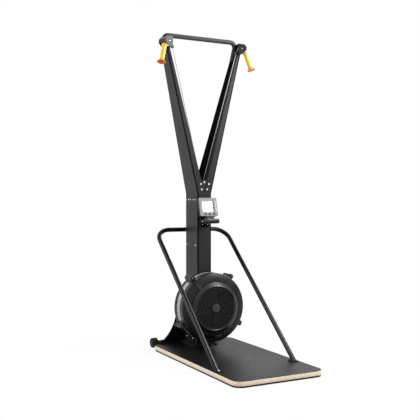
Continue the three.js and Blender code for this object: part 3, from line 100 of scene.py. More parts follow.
class Wire:
    """What a node gives out, so that a finish's sums read as sums."""

    def __init__(self, finish, socket):
        self.finish = finish
        self.socket = socket

    def sum(self, operation, first, second=0):
        return self.finish.node("ShaderNodeMath", {"operation": operation}, {0: first, 1: second})

    def __add__(self, other):
        return self.sum("ADD", self, other)

    __radd__ = __add__

    def __mul__(self, other):
        return self.sum("MULTIPLY", self, other)

    __rmul__ = __mul__

    def __sub__(self, other):
        return self.sum("SUBTRACT", self, other)

    def __rsub__(self, other):
        return self.sum("SUBTRACT", other, self)

    def __truediv__(self, other):
        return self.sum("DIVIDE", self, other)

    def __mod__(self, other):
        return self.sum("FLOORED_MODULO", self, other)

    def __gt__(self, other):
        return self.sum("GREATER_THAN", self, other)

    def __lt__(self, other):
        return self.sum("LESS_THAN", self, other)

    def __abs__(self):
        return self.sum("ABSOLUTE", self)

    def root(self):
        return self.sum("SQRT", self)

    def most(self, other):
        """The larger of the two."""
        return self.sum("MAXIMUM", self, other)

    def step(self, start, end):
        """0 below start, 1 above end, and an even slope between them."""
        return self.finish.node(
            "ShaderNodeMapRange", {"clamp": True}, {"Value": self, "From Min": start, "From Max": end}
        )


class Finish:
    """One surface finish: a shader, its fixed values, and what varies over the surface."""

    def __init__(self, name, fixed):
        self.material = bpy.data.materials.new(name)
        self.material.use_nodes = True
        self.tree = self.material.node_tree
        self.shader = self.tree.nodes["Principled BSDF"]
        for socket, value in fixed.items():
            self.shader.inputs[socket].default_value = value
        self.place = self.node("ShaderNodeTexCoord", out="Object")

    def node(self, kind, settings=None, sockets=None, out=0):
        made = self.tree.nodes.new(kind)
        for name, value in (settings or {}).items():
            setattr(made, name, value)
        for name, value in (sockets or {}).items():
            self.feed(made.inputs[name], value)
        return Wire(self, made.outputs[out])

    def feed(self, socket, value):
        if isinstance(value, Wire):
            self.tree.links.new(value.socket, socket)
        else:
            socket.default_value = value

    def give(self, name, value):
        self.feed(self.shader.inputs[name], value)

    def noise(self, scale, detail=2.0, roughness=0.5, at=None):
        return self.node(
            "ShaderNodeTexNoise",
            {"noise_dimensions": "3D"},
            {"Vector": at or self.place, "Scale": scale, "Detail": detail, "Roughness": roughness},
        )

    def cells(self, scale, feature="F1", at=None):
        return self.node(
            "ShaderNodeTexVoronoi", {"feature": feature}, {"Vector": at or self.place, "Scale": scale}
        )

    def stretched(self, x, y, z):
        """The place on the surface, stretched by a factor along each axis."""
        return self.node(
            "ShaderNodeVectorMath", {"operation": "MULTIPLY"}, {0: self.place, 1: (x, y, z)}
        )

    def mix(self, factor, first, second):
        return self.node(
            "ShaderNodeMix", {"data_type": "RGBA"}, {0: factor, 6: first, 7: second}, out=2
        )

    def axis(self, which):
        return self.node("ShaderNodeSeparateXYZ", None, {"Vector": self.place}, out=which)

    def relief(self, *layers):
        """Bumps laid one over another: each a height, its depth in metres and its strength."""
        normal = None
        for height, depth, strength in layers:
            sockets = {"Height": height, "Distance": depth, "Strength": strength}
            if normal:
                sockets["Normal"] = normal
            normal = self.node("ShaderNodeBump", None, sockets)
        self.give("Normal", normal)


def powder_coat(name, dark, light, rough=0.42, gloss=0.2, groove_shaded=False, painted_shade_past=None):
    """Baked black paint: a fine orange peel, faint clouds of tone and a little dust."""
    f = Finish(name, {"Specular IOR Level": gloss})
    clouds = f.noise(5.0, 3.0)
    speckle = f.noise(1400.0, 1.0)
    fade = 0.02
    dusty = grey(light + 26)
    tone = f.mix(clouds, grey(dark), grey(light))
    # Painted shade: the groove down each front corner of the mast and arms is coloured near-black
    if groove_shaded:
        tone = f.mix(groove_shade_mask(f), tone, grey(3))
    # Painted shade: near-black beyond this distance from the middle, where the crossbar bends down at its
    # ends
    if painted_shade_past:
        tone = f.mix(abs(f.axis(0)).step(painted_shade_past, painted_shade_past + fade), tone, grey(10))
    dust = f.noise(60.0, 4.0, 0.7).step(0.62, 0.8)
    f.give("Base Color", f.mix(dust * 0.22, tone, dusty))
    f.give("Roughness", f.noise(18.0, 3.0) * 0.16 + (rough - 0.08) + dust * 0.1)
    f.relief((f.noise(750.0, 2.0), 0.00012, 0.3), (speckle, 0.00003, 0.25))
    return f.material


def groove_shade_mask(f):
    """1 in the groove that runs down each front corner of the mast and up each arm, where shade is
    painted, 0 elsewhere.
    """
    reach_in, past_sheet, past_front = 0.0028, 0.0025, 0.0007
    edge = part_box("column")[1].x
    bend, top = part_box("column")[1].z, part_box("arm_right")[1]
    spread = (top.x - edge) / (top.z - bend)
    above = f.axis(2) - bend
    inwards = above.most(0.0) * spread + edge - abs(f.axis(0))
    behind_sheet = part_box("column_front_cover")[0].y + past_sheet
    groove_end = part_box("column")[0].y + past_front
    corner = inwards < reach_in
    return corner.most(f.axis(1) > behind_sheet) * (f.axis(1) < groove_end)


def moulded(name, dark, light, rough, gloss, grain=1500.0, depth=0.00006, tint=(1, 1, 1)):
    """Moulded plastic: spark-eroded grain, a slight flow of tone and handling marks."""
    f = Finish(name, {"Specular IOR Level": gloss})
    low = tuple(c * t for c, t in zip(grey(dark)[:3], tint)) + (1,)
    high = tuple(c * t for c, t in zip(grey(light)[:3], tint)) + (1,)
    f.give("Base Color", f.mix(f.noise(9.0, 3.0), low, high))
    f.give("Roughness", f.noise(30.0, 4.0, 0.65) * 0.2 + (rough - 0.1))
    f.relief((f.cells(grain), depth, 0.35))
    return f.material


def lacquer(name, dark, light):
    """The handrail's smooth black lacquer, with a slight waviness."""
    f = Finish(name, {"Specular IOR Level": 0.16})
    f.give("Base Color", f.mix(f.noise(12.0, 3.0), grey(dark), grey(light)))
    f.give("Roughness", f.noise(25.0, 4.0, 0.6) * 0.08 + 0.2)
    f.relief((f.noise(90.0, 2.0), 0.0001, 0.25), (f.noise(900.0, 1.0), 0.00002, 0.2))
    return f.material


def bright_metal(name, level, rough, brushed=(40.0, 900.0, 40.0)):
    """Zinc-bright steel: drawn lines, clouded plating and a little oxide."""
    f = Finish(name, {"Metallic": 1.0})
    lines = f.noise(1.0, 3.0, 0.6, at=f.stretched(*brushed))
    bloom = f.noise(25.0, 4.0, 0.6)
    f.give("Base Color", f.mix(bloom.step(0.35, 0.75), grey(level + 14), grey(level - 22)))
    f.give("Roughness", lines * 0.14 + bloom * 0.12 + (rough - 0.12))
    f.relief((lines, 0.00004, 0.3))
    return f.material


def birch_edge():
    """The board's edge: seven plies, long grain and end grain by turns, with dark glue lines and a painted
    shadow along its lowest few millimetres.
    """
    plies, painted_shadow_below = 7, 0.0035
    f = Finish("birch_plywood", {"Specular IOR Level": 0.4, "Coat Roughness": 0.35})
    f.give("Coat Weight", 0.25)
    low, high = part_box("deck_board")
    ply = (high.z - low.z) / plies
    height = f.axis(2) - low.z
    share = (height / ply) % 1.0
    turn = ((height / ply) % 2.0) > 1.0
    clear_of_glue = 1.0 - abs(share - 0.5).step(0.40, 0.47)
    long_grain = f.noise(1.0, 5.0, 0.65, at=f.stretched(14.0, 14.0, 1500.0))
    pores = f.cells(1.0, at=f.stretched(1500.0, 1500.0, 900.0)).step(0.12, 0.5)
    blotch = f.noise(7.0, 4.0, 0.6)
    face = f.mix(long_grain.step(0.3, 0.7), paint(236, 218, 196), paint(250, 241, 228))
    end = f.mix(pores, paint(208, 182, 156), paint(240, 222, 202))
    wood = f.mix(turn, face, end)
    wood = f.mix(blotch.step(0.35, 0.8) * 0.3, wood, paint(224, 198, 170))
    wood = f.mix(clear_of_glue, paint(176, 142, 112), wood)
    # The edge is coloured darker towards its foot
    darker_towards_foot = 1.0 - (height / (high.z - low.z)).step(0.2, 0.65)
    wood = f.mix(darker_towards_foot * 0.4, wood, paint(190, 158, 128))
    # Painted shadow: the lowest 3.5 mm of the edge is coloured near-black
    f.give("Base Color", f.mix(height < painted_shadow_below, wood, grey(16)))
    f.give("Roughness", long_grain * 0.2 + 0.42)
    f.relief((share * (1.0 - share), 0.0002, 0.35), (pores, 0.00006, 0.3))
    return f.material


def tread_sheet():
    """The deck's top sheet: a fine non-slip pebble, a little paler where feet stand."""
    ahead_of_origin, half_long, half_wide = 0.28, 0.42, 0.26
    f = Finish("non_slip_sheet", {"Specular IOR Level": 0.15})
    pebble = f.cells(640.0, "SMOOTH_F1")
    scuff = f.noise(1.0, 5.0, 0.7, at=f.stretched(26.0, 9.0, 1.0)).step(0.55, 0.8)
    along = abs(f.axis(1) + ahead_of_origin) / half_long
    across = abs(f.axis(0)) / half_wide
    worn = 1.0 - (along * along + across * across).step(0.1, 1.4)
    base = f.mix(f.noise(4.0, 3.0), grey(9), grey(14))
    base = f.mix(worn * 0.3, base, grey(28))
    f.give("Base Color", f.mix(scuff * 0.25, base, grey(40)))
    f.give("Roughness", f.noise(40.0, 3.0) * 0.14 + 0.34 - worn * 0.04)
    f.relief((pebble, 0.00025, 0.4), (f.noise(2500.0, 1.0), 0.00003, 0.3))
    return f.material


def braid(name, level):
    """Braided line: crossing strands, a little fuzz."""
    f = Finish(name, {"Specular IOR Level": 0.3, "Sheen Weight": 0.3})
    strands = f.cells(760.0, "SMOOTH_F1", at=f.stretched(1.0, 1.0, 0.6))
    shade = strands.step(0.1, 0.75)
    f.give("Base Color", f.mix(shade, grey(level), grey(level - 62)))
    f.give("Roughness", f.noise(900.0, 2.0) * 0.2 + 0.6)
    f.relief((1.0 - strands, 0.0006, 0.7))
    return f.material


def soft_grip(name, centre, along, half):
    """The grip's foam rubber: a pebbled skin, darker and mottled about its middle, where hands hold it."""
    f = Finish(name, {"Specular IOR Level": 0.35})
    from_middle = f.node(
        "ShaderNodeVectorMath", {"operation": "SUBTRACT"}, {0: f.place, 1: tuple(centre)}
    )
    reach = f.node(
        "ShaderNodeVectorMath", {"operation": "DOT_PRODUCT"}, {0: from_middle, 1: tuple(along)}, out=1
    )
    middle = 1.0 - (abs(reach) / half).step(0.15, 0.75)
    mottle = f.noise(130.0, 4.0, 0.7).step(0.42, 0.68)
    skin = f.mix(f.noise(40.0, 3.0), paint(218, 195, 62), paint(225, 208, 110))
    skin = f.mix(middle * mottle * 0.75, skin, paint(204, 172, 44))
    f.give("Base Color", skin)
    f.give("Roughness", f.noise(60.0, 3.0) * 0.2 + 0.42)
    f.relief((f.cells(520.0), 0.0005, 0.45), (f.noise(1800.0, 1.0), 0.00006, 0.4))
    return f.material


def bell_moulding(name, top, along):
    """The handle's orange moulding, with painted shade in dark red-brown inside the bell."""
    cavity_start, flare_start, flare_slope, throat, narrowest = 0.157, 0.163, 1.5, 0.0145, 0.016
    f = Finish(name, {"Specular IOR Level": 0.4})
    out = f.node("ShaderNodeVectorMath", {"operation": "SUBTRACT"}, {0: f.place, 1: tuple(top)})
    reach = f.node("ShaderNodeVectorMath", {"operation": "DOT_PRODUCT"}, {0: out, 1: tuple(along)}, out=1)
    length = f.node("ShaderNodeVectorMath", {"operation": "LENGTH"}, {0: out}, out=1)
    aside = (length * length - reach * reach).root()
    flare = (reach - flare_start) * flare_slope + throat
    inside = (aside < flare.most(narrowest)) * (reach > cavity_start)
    skin = f.mix(f.noise(9.0, 3.0), paint(236, 136, 64), paint(247, 158, 84))
    skin = f.mix(reach.step(0.10, 0.02), skin, paint(244, 188, 88))
    # Painted shade: the bell's hollow is coloured dark red-brown
    f.give("Base Color", f.mix(inside, skin, paint(176, 78, 6)))
    f.give("Roughness", f.noise(30.0, 4.0, 0.65) * 0.2 + 0.34)
    f.relief((f.cells(1500.0), 0.00005, 0.35))
    return f.material


def grille_moulding():
    """The grille's satin moulding: the fronts of its rings and its hub are painted lighter as highlights,
    the rest of it is black.
    """
    first_ring, ring_pitch, ring_share, face_depth, hub_radius = 0.0374, 0.0109, 0.17, 0.0102, 0.032
    f = Finish("grille_moulding", {"Specular IOR Level": 0.08})
    low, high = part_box("fan_grille")
    x, z = f.axis(0), f.axis(2) - (low.z + high.z) / 2
    radius = (x * x + z * z).root()
    across_ring = ((radius - first_ring) / ring_pitch) % 1.0
    # Painted highlight: the ring fronts are coloured lighter than the rest of the moulding
    ring = (abs(across_ring - 0.5) < ring_share) * (f.axis(1) < low.y + face_depth)
    hub = radius < hub_radius
    tone = f.mix(f.noise(40.0, 3.0), grey(56), grey(72))
    plain = f.mix(hub, grey(5), grey(64))
    f.give("Base Color", f.mix(ring * (1.0 - hub), plain, tone))
    f.give("Roughness", f.noise(60.0, 3.0) * 0.16 + 0.3)
    f.relief((f.cells(1500.0), 0.00005, 0.3))
    return f.material


def display_glass():
    """A pale display under a clear window, faintly mottled, with a painted glow from a faint emission that
    lifts it towards white.
    """
    # Painted glow: the display has no light of its own, its emission only brightens it
    f = Finish("display_window", {"Roughness": 0.3, "Coat Roughness": 0.04, "Emission Strength": 0.12})
    f.give("Coat Weight", 0.6)
    fine = f.noise(2600.0, 1.0)
    field = f.mix(f.noise(14.0, 2.0), paint(206, 208, 202), paint(215, 217, 211))
    f.give("Base Color", f.mix(fine.step(0.3, 0.8) * 0.2, field, paint(196, 200, 194)))
    f.give("Emission Color", paint(246, 248, 243))
    f.relief((fine, 0.00002, 0.2))
    return f.material


def rubber(name, dark, light):
    """Matt rubber, with a bloom of dust and a fine tooth."""
    f = Finish(name, {"Specular IOR Level": 0.25})
    dust = f.noise(35.0, 5.0, 0.7).step(0.45, 0.8)
    f.give("Base Color", f.mix(dust, grey(dark), grey(light)))
    f.give("Roughness", f.noise(70.0, 3.0) * 0.2 + 0.62)
    f.relief((f.noise(1300.0, 2.0), 0.00015, 0.4))
    return f.material


# The line each handle hangs on, in the machine's frame: where it starts and which way it goes
HANG = {
    side: (Vector((s * 0.31065, 0.3293, 2.1736)), Vector((s * 0.27, -0.19, -0.943928)).normalized())
    for side, s in SIDES
}

powder = powder_coat("black_powder_coat", 27, 36)
# A darker black for the fan wheel, the fan axle and the monitor bracket: painted shade, as they sit in
# shadow
painted_shade_black = moulded("painted_shade_black", 4, 7, 0.55, 0.05)
head_coat = powder_coat("head_coat", 22, 30, 0.24, 0.3)
OWN_FINISH = {
    "column": powder_coat("groove_shaded_powder_coat", 27, 36, groove_shaded=True),
    # The crossbar's coat is a paler copy of the black coat, painted light for the lit bar, with painted
    # shade at its ends
    "arm_crossbar": powder_coat("crossbar_painted_light_coat", 56, 70, painted_shade_past=0.262),
    "handrail": lacquer("rail_lacquer", 5, 9),
    "fan_grille": grille_moulding(),
    "fan_front_cover": moulded("cover_moulding", 14, 20, 0.34, 0.28),
    "redirect_axle_left": powder,
    "redirect_axle_right": powder,
    "fan_wheel": painted_shade_black,
    "fan_axle": painted_shade_black,
    "monitor_bracket": painted_shade_black,
    # The flare plate's darker coat is painted shade
    "rear_flare_plate": powder_coat("flare_painted_shade_coat", 8, 14, gloss=0.12),
}
for side, _ in SIDES:
    OWN_FINISH["handle_body_" + side] = bell_moulding("bell_moulding_" + side, *HANG[side])
    OWN_FINISH["head_housing_" + side] = head_coat
    OWN_FINISH["arm_" + side] = OWN_FINISH["column"]
OWN_FINISH["column_front_cover"] = OWN_FINISH["column"]
FINISH = {
    "black_powder_coat": powder,
    "black_plastic": moulded("black_moulding", 14, 20, 0.42, 0.22),
    "bezel_plastic": moulded("satin_bezel", 10, 15, 0.3, 0.45, 2400.0, 0.00003),
    "screen_metal": bright_metal("perforated_sheet", 205, 0.42, (60.0, 60.0, 60.0)),
    "bright_steel": bright_metal("zinc_bright_steel", 232, 0.3),
    "underlay_rubber": rubber("underlay_rubber", 20, 34),
    "plywood": birch_edge(),
    "deck_sheet": tread_sheet(),
    "cord": braid("braided_cord", 214),
    "monitor_shell": moulded("monitor_shell", 130, 146, 0.45, 0.3, 1900.0, 0.00007, (1, 1, 0.96)),
    "display": display_glass(),
    "key_dark": rubber("key_dark", 26, 36),
    "key_white": moulded("key_white", 246, 252, 0.5, 0.4),
    "wheel_rubber": rubber("wheel_rubber", 12, 24),
}
GRIP = {
    side: soft_grip("soft_grip_" + side, HANG[side][0] + HANG[side][1] * 0.0995, HANG[side][1], 0.052)
    for side, _ in SIDES
}

# Plates with windows or bolt holes, whose flat faces stay as they were cut
PIERCED = ("monitor_front", "front_gusset_plate", "column", "monitor_bracket")

# Each CAD node with its slot and how far its edges are eased, in metres
WEARS = {
    "black_powder_coat": {
        "column_base_plate": 0.001, "column": 0.0012, "column_front_cover": 0.0009,
        "foot_bracket_left": 0.0008, "foot_bracket_right": 0.0008, "rear_flare_plate": 0.0009,
        "arm_left": 0.0011, "arm_right": 0.0011, "front_gusset_plate": 0.0006,
        "arm_crossbar": 0.0006, "handrail": 0.0006, "handrail_foot_left": 0.001,
        "handrail_foot_right": 0.001, "handrail_saddle": 0.0008, "wheel_bracket_left": 0.0007,
        "wheel_bracket_right": 0.0007, "monitor_bracket": 0.0008, "return_spring_case": 0.001,
        "head_housing_left": 0.0009, "head_housing_right": 0.0009,
    },
    "black_plastic": {
        "fan_rear_cover": 0.0012, "fan_front_cover": 0.0012, "fan_grille": 0.0007,
        "fan_wheel": 0.0004, "head_pulley_left": 0.0006, "head_pulley_right": 0.0006,
        "redirect_pulley_left": 0.0006, "redirect_pulley_right": 0.0006,
        "cord_drum_left": 0.0006, "cord_drum_right": 0.0006, "monitor_case": 0.0016,
    },
    "bezel_plastic": {"damper_ring": 0.0009},
    "bright_steel": {"redirect_axle_left": 0.0007, "redirect_axle_right": 0.0007, "fan_axle": 0.0006},
    "underlay_rubber": {"deck_underlay": 0.0007},
    "plywood": {"deck_board": 0.0022},
    "deck_sheet": {"deck_top_sheet": 0.0009},
    "cord": {"drive_cord_left": 0, "drive_cord_right": 0},
    "handle_orange": {"handle_body_left": 0.0009, "handle_body_right": 0.0009},
    "grip_yellow": {"handle_grip_left": 0.0012, "handle_grip_right": 0.0012},
    "monitor_shell": {"monitor_front": 0.0009},
    "display": {"monitor_screen": 0.0003},
    "key_dark": {"monitor_key_dark_%d" % i: 0.0007 for i in (1, 2, 3)},
    "key_white": {"monitor_key_white_%d" % i: 0.0006 for i in (1, 2, 3, 4, 5)},
    "wheel_rubber": {"transport_wheel_left": 0.0015, "transport_wheel_right": 0.0015},
}


# Making and fitting pieces


def only(piece):
    if bpy.context.mode != "OBJECT":
        bpy.ops.object.mode_set(mode="OBJECT")
    bpy.ops.object.select_all(action="DESELECT")
    piece.select_set(True)
    bpy.context.view_layer.objects.active = piece


def edit(piece):
    only(piece)
    bpy.ops.object.mode_set(mode="EDIT")


def done():
    bpy.ops.object.mode_set(mode="OBJECT")


def pick(piece, kind, test):
    """Selects the faces or corners whose middle and normal pass the test, and no others."""
    bpy.ops.mesh.select_mode(type=kind)
    bpy.ops.mesh.select_all(action="DESELECT")
    mesh = bmesh.from_edit_mesh(piece.data)
    for part in mesh.faces if kind == "FACE" else mesh.verts:
        middle = part.calc_center_median() if kind == "FACE" else part.co
        if test(middle, part.normal):
            part.select_set(True)
    bmesh.update_edit_mesh(piece.data)


def apply(piece, kind, **settings):
    only(piece)
    made = piece.modifiers.new(kind, kind)
    for name, value in settings.items():
        setattr(made, name, value)
    bpy.ops.object.modifier_apply(modifier=made.name)


def eased(piece, width, angle=32.0, steps=2):
    """Softens a piece's edges and shades it evenly."""
    if width:
        apply(
            piece, "BEVEL", width=width, segments=steps, limit_method="ANGLE",
            angle_limit=math.radians(angle), miter_outer="MITER_ARC",
        )
    only(piece)
    bpy.ops.object.shade_smooth_by_angle(angle=math.radians(angle))
    if width:
        apply(piece, "WEIGHTED_NORMAL", keep_sharp=True)


def fit(piece, name, body, slot, finish=None):
    """Names a finished piece, gives it its finish and hangs it on its body."""
    piece.name = name
    piece.data.name = name
    piece.data.materials.clear()
    piece.data.materials.append(finish or FINISH[slot])
    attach(piece, body)


def surfaced(node, slot, width, finish=None):
    """A CAD solid's own shape with its corners joined, its edges eased and its rounds shaded."""
    source = NODES[node]
    piece = bpy.data.objects.new(node + "_surface", source.data.copy())
    bpy.context.scene.collection.objects.link(piece)
    only(piece)
    bpy.ops.mesh.customdata_custom_splitnormals_clear()
    edit(piece)
    bpy.ops.mesh.select_all(action="SELECT")
    bpy.ops.mesh.remove_doubles(threshold=0.000002)
    if node not in PIERCED:
        bpy.ops.mesh.dissolve_limited(angle_limit=math.radians(0.5))
    done()
    eased(piece, width)
    fit(piece, node + "_surface", source["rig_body"], slot, finish)
    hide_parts(node)


def moved(model, name, matrix):
    """A copy of a modelled piece with its own mesh, put in its place."""
    piece = bpy.data.objects.new(name, model.data.copy())
    bpy.context.scene.collection.objects.link(piece)
    piece.data.transform(matrix)
    return piece


def facing(at, towards, turn=0.0):
    """The matrix that stands a piece made on the +Z axis at a place, pointing another way."""
    turned = Vector(towards).to_track_quat("Z", "Y").to_matrix().to_4x4()
    return Matrix.Translation(Vector(at)) @ turned @ Matrix.Rotation(turn, 4, "Z")


def joined(name, pieces):
    only(pieces[0])
    for piece in pieces[1:]:
        piece.select_set(True)
    bpy.ops.object.join()
    pieces[0].name = name
    return pieces[0]


# Fasteners


def button_bolt(radius):
    """A button-head bolt on its washer, with a round socket, standing on the +Z axis."""
    washer, height = radius * 1.45, radius * 0.72
    bpy.ops.mesh.primitive_cylinder_add(
        vertices=24, radius=washer, depth=radius * 0.22, location=(0, 0, radius * 0.11)
    )
    piece = bpy.context.object
    bpy.ops.object.transform_apply(location=True)
    edit(piece)
    pick(piece, "FACE", lambda at, normal: normal.z > 0.9)
    bpy.ops.mesh.inset(thickness=washer - radius)
    for rise, draw in ((height * 0.45, 0.02), (height * 0.33, 0.14), (height * 0.22, 0.3)):
        bpy.ops.mesh.extrude_region_move(TRANSFORM_OT_translate={"value": (0, 0, rise)})
        bpy.ops.transform.resize(value=(1 - draw, 1 - draw, 1))
    bpy.ops.mesh.inset(thickness=radius * 0.1)
    bpy.ops.mesh.extrude_region_move(TRANSFORM_OT_translate={"value": (0, 0, -height * 0.5)})
    bpy.ops.transform.resize(value=(0.88, 0.88, 1))
    done()
    eased(piece, radius * 0.05, 40.0, 1)
    return piece


def hex_bolt(radius):
    """A hexagon head on its washer, stepped in on top, with its middle dished."""
    bpy.ops.mesh.primitive_cylinder_add(
        vertices=24, radius=radius * 1.35, depth=radius * 0.24, location=(0, 0, radius * 0.12)
    )
    piece = bpy.context.object
    bpy.ops.object.transform_apply(location=True)
    edit(piece)
    bpy.ops.mesh.select_all(action="DESELECT")
    bpy.ops.mesh.primitive_cylinder_add(
        vertices=6, radius=radius, depth=radius * 0.7, location=(0, 0, radius * 0.59)
    )
    pick(piece, "FACE", lambda at, normal: normal.z > 0.9 and at.z > radius * 0.9)
    bpy.ops.mesh.inset(thickness=radius * 0.16)
    bpy.ops.transform.translate(value=(0, 0, radius * 0.08))
    bpy.ops.mesh.inset(thickness=radius * 0.3)
    bpy.ops.transform.translate(value=(0, 0, -radius * 0.07))
    done()
    eased(piece, radius * 0.06, 35.0, 2)
    return piece


def fastened(name, model, spots, finish=None):
    """A group of like fasteners on the frame: each spot is a place and the way that its head looks."""
    turn_between = 0.7
    made = []
    for count, (at, towards) in enumerate(spots):
        made.append(moved(model, "%s_%d" % (name, count), facing(at, towards, count * turn_between)))
    fit(joined(name, made), name, "frame", "bright_steel", finish)


# The fan's perforated screen


def perforated_screen():
    """The sheet round the fan's edge, rolled and punched with rows of holes."""
    low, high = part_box("fan_screen")
    centre = Vector(((low.x + high.x) / 2, 0, (low.z + high.z) / 2))
    inside_by = 0.0002
    radius = (high.x - low.x) / 2 - inside_by
    rim, rows, across = 0.0035, 7, 176
    web, corner, largest_hole, sheet = 0.0014, 0.0016, 4e-5, 0.0012
    width = high.y - low.y
    bpy.ops.mesh.primitive_circle_add(
        vertices=across, radius=radius, location=(centre.x, low.y, centre.z), rotation=(math.pi / 2, 0, 0)
    )
    piece = bpy.context.object
    bpy.ops.object.transform_apply(location=True, rotation=True)
    edit(piece)
    bpy.ops.mesh.select_all(action="SELECT")
    for step in [rim] + [(width - 2 * rim) / rows] * rows + [rim]:
        bpy.ops.mesh.extrude_region_move(TRANSFORM_OT_translate={"value": (0, step, 0)})
    pick(piece, "FACE", lambda at, normal: low.y + rim < at.y < high.y - rim)
    bpy.ops.mesh.inset(thickness=web, use_individual=True)
    bpy.ops.mesh.bevel(offset=corner, affect="VERTICES", segments=1)
    bpy.ops.mesh.select_all(action="DESELECT")
    mesh = bmesh.from_edit_mesh(piece.data)
    for face in mesh.faces:
        if len(face.verts) == 8 and low.y + rim < face.calc_center_median().y < high.y - rim:
            closed = max(len(edge.link_faces) for edge in face.edges) == 2
            face.select_set(closed and face.calc_area() < largest_hole)
    bmesh.update_edit_mesh(piece.data)
    bpy.ops.mesh.delete(type="FACE")
    bpy.ops.mesh.select_all(action="SELECT")
    bpy.ops.mesh.normals_make_consistent(inside=False)
    done()
    apply(piece, "SOLIDIFY", thickness=sheet, offset=-1.0)
    bpy.ops.object.shade_smooth_by_angle(angle=math.radians(30))
    fit(piece, "fan_screen_punched", "frame", "screen_metal")
    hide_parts("fan_screen")


# The black strips that put painted shade in the mast's grooves


def groove_shadow_strip(side, s):
    """A near-black strip in the groove down the mast's front corner and up the arm, standing for the shade
    there.
    """
    column, cover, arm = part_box("column"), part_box("column_front_cover"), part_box("arm_" + side)
    proud, into_column, depth, lip, hollow = 0.0004, 0.0025, 0.0068, 0.003, 0.0016
    above_base, short_of_top = 0.001, 0.006
    front, back = cover[0].y - proud, column[0].y + into_column
    foot, bend, top = column[0].z + above_base, column[1].z, arm[1].z - short_of_top
    reach = max(abs(arm[0].x), abs(arm[1].x)) - column[1].x
    shift = s * reach * (top - bend) / (arm[1].z - bend)
    outer = s * (column[1].x + proud)
    middle = (outer - s * depth / 2, (front + back) / 2, (foot + bend) / 2)
    bpy.ops.mesh.primitive_cube_add(size=1, location=(0, 0, 0))
    piece = bpy.context.object
    edit(piece)
    bpy.ops.mesh.select_all(action="SELECT")
    bpy.ops.transform.resize(value=(depth, back - front, bend - foot))
    bpy.ops.transform.translate(value=middle)
    pick(piece, "FACE", lambda at, normal: normal.z > 0.9)
    bpy.ops.mesh.extrude_region_move(TRANSFORM_OT_translate={"value": (shift, 0, top - bend)})
    pick(piece, "FACE", lambda at, normal: normal.x * s > 0.9)
    bpy.ops.mesh.inset(thickness=lip)
    bpy.ops.transform.translate(value=(-s * hollow, 0, 0))
    done()
    eased(piece, 0.0004)
    fit(piece, "groove_shadow_strip_" + side, "frame", "underlay_rubber", groove_shadow_black)


# The pull cords


def pull_cord(side):
    """The cord from the head's guide down to its knot in the handle."""
    top, along = HANG[side]
    radius, first, close, far_from, far = 0.0024, 0.0009, 0.0015, 0.03, 0.0095
    stops = [first + close * i for i in range(20)] + [far_from + far * i for i in range(15)]
    bpy.ops.mesh.primitive_circle_add(vertices=12, radius=radius, fill_type="NGON", location=(0, 0, 0))
    piece = bpy.context.object
    edit(piece)
    bpy.ops.mesh.select_all(action="SELECT")
    for before, after in zip(stops, stops[1:]):
        bpy.ops.mesh.extrude_region_move(TRANSFORM_OT_translate={"value": (0, 0, after - before)})
    bpy.ops.mesh.select_all(action="SELECT")
    bpy.ops.mesh.normals_make_consistent(inside=False)
    done()
    piece.data.transform(facing(top + along * stops[0], along))
    bpy.ops.object.shade_smooth_by_angle(angle=math.radians(50))
    piece.name = "pull_cord_" + side
    piece.data.materials.append(FINISH["cord"])
    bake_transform(piece)
    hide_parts("cord_stub_" + side)


def knot(side):
    """The stop at the cord's end in the bell's roof: one thick turn of cord, raised on one side."""
    top, along = HANG[side]
    down_the_line = 0.1635
    bpy.ops.mesh.primitive_torus_add(
        major_radius=0.0029, minor_radius=0.0024, major_segments=20, minor_segments=10, location=(0, 0, 0)
    )
    piece = bpy.context.object
    edit(piece)
    bpy.ops.mesh.select_all(action="SELECT")
    bpy.ops.transform.resize(value=(1, 1, 1.25))
    pick(piece, "VERT", lambda at, normal: at.x > 0.002)
    bpy.ops.transform.translate(value=(0.0004, 0, 0.0014))
    done()
    apply(piece, "SUBSURF", levels=1, render_levels=1)
    bpy.ops.object.shade_smooth()
    piece.data.transform(facing(top + along * down_the_line, along))
    fit(piece, "cord_knot_" + side, "handle_" + side, "cord", knot_painted_shade_finish)


# The monitor's painted shadow strip and painted highlight strip, and the axis that it tilts on

BARREL = Vector((0, 0.253, 0.928))
BARREL_RADIUS = 0.0176
HIGHLIGHT_STRIP_ASIDE = 0.013
SHADOW_STRIP_X = 0.0385
SHADOW_STRIP_PROUD = 0.0008


def bar(name, size, at, turn, slot):
    """A slim strip on the monitor, which carries painted shade beside the display and a painted highlight
    on the barrel: its size, its middle, and how far it leans back.
    """
    bpy.ops.mesh.primitive_cube_add(size=1, location=(0, 0, 0))
    piece = bpy.context.object
    edit(piece)
    bpy.ops.mesh.select_all(action="SELECT")
    bpy.ops.transform.resize(value=size)
    pick(piece, "FACE", lambda middle, normal: normal.y < -0.9)
    bpy.ops.mesh.inset(thickness=min(size[0], size[2]) * 0.2)
    bpy.ops.transform.translate(value=(0, -size[1] * 0.25, 0))
    done()
    eased(piece, 0.0004, 20.0)
    piece.data.transform(Matrix.Translation(Vector(at)) @ Matrix.Rotation(turn, 4, "X"))
    fit(piece, name, "monitor", slot)


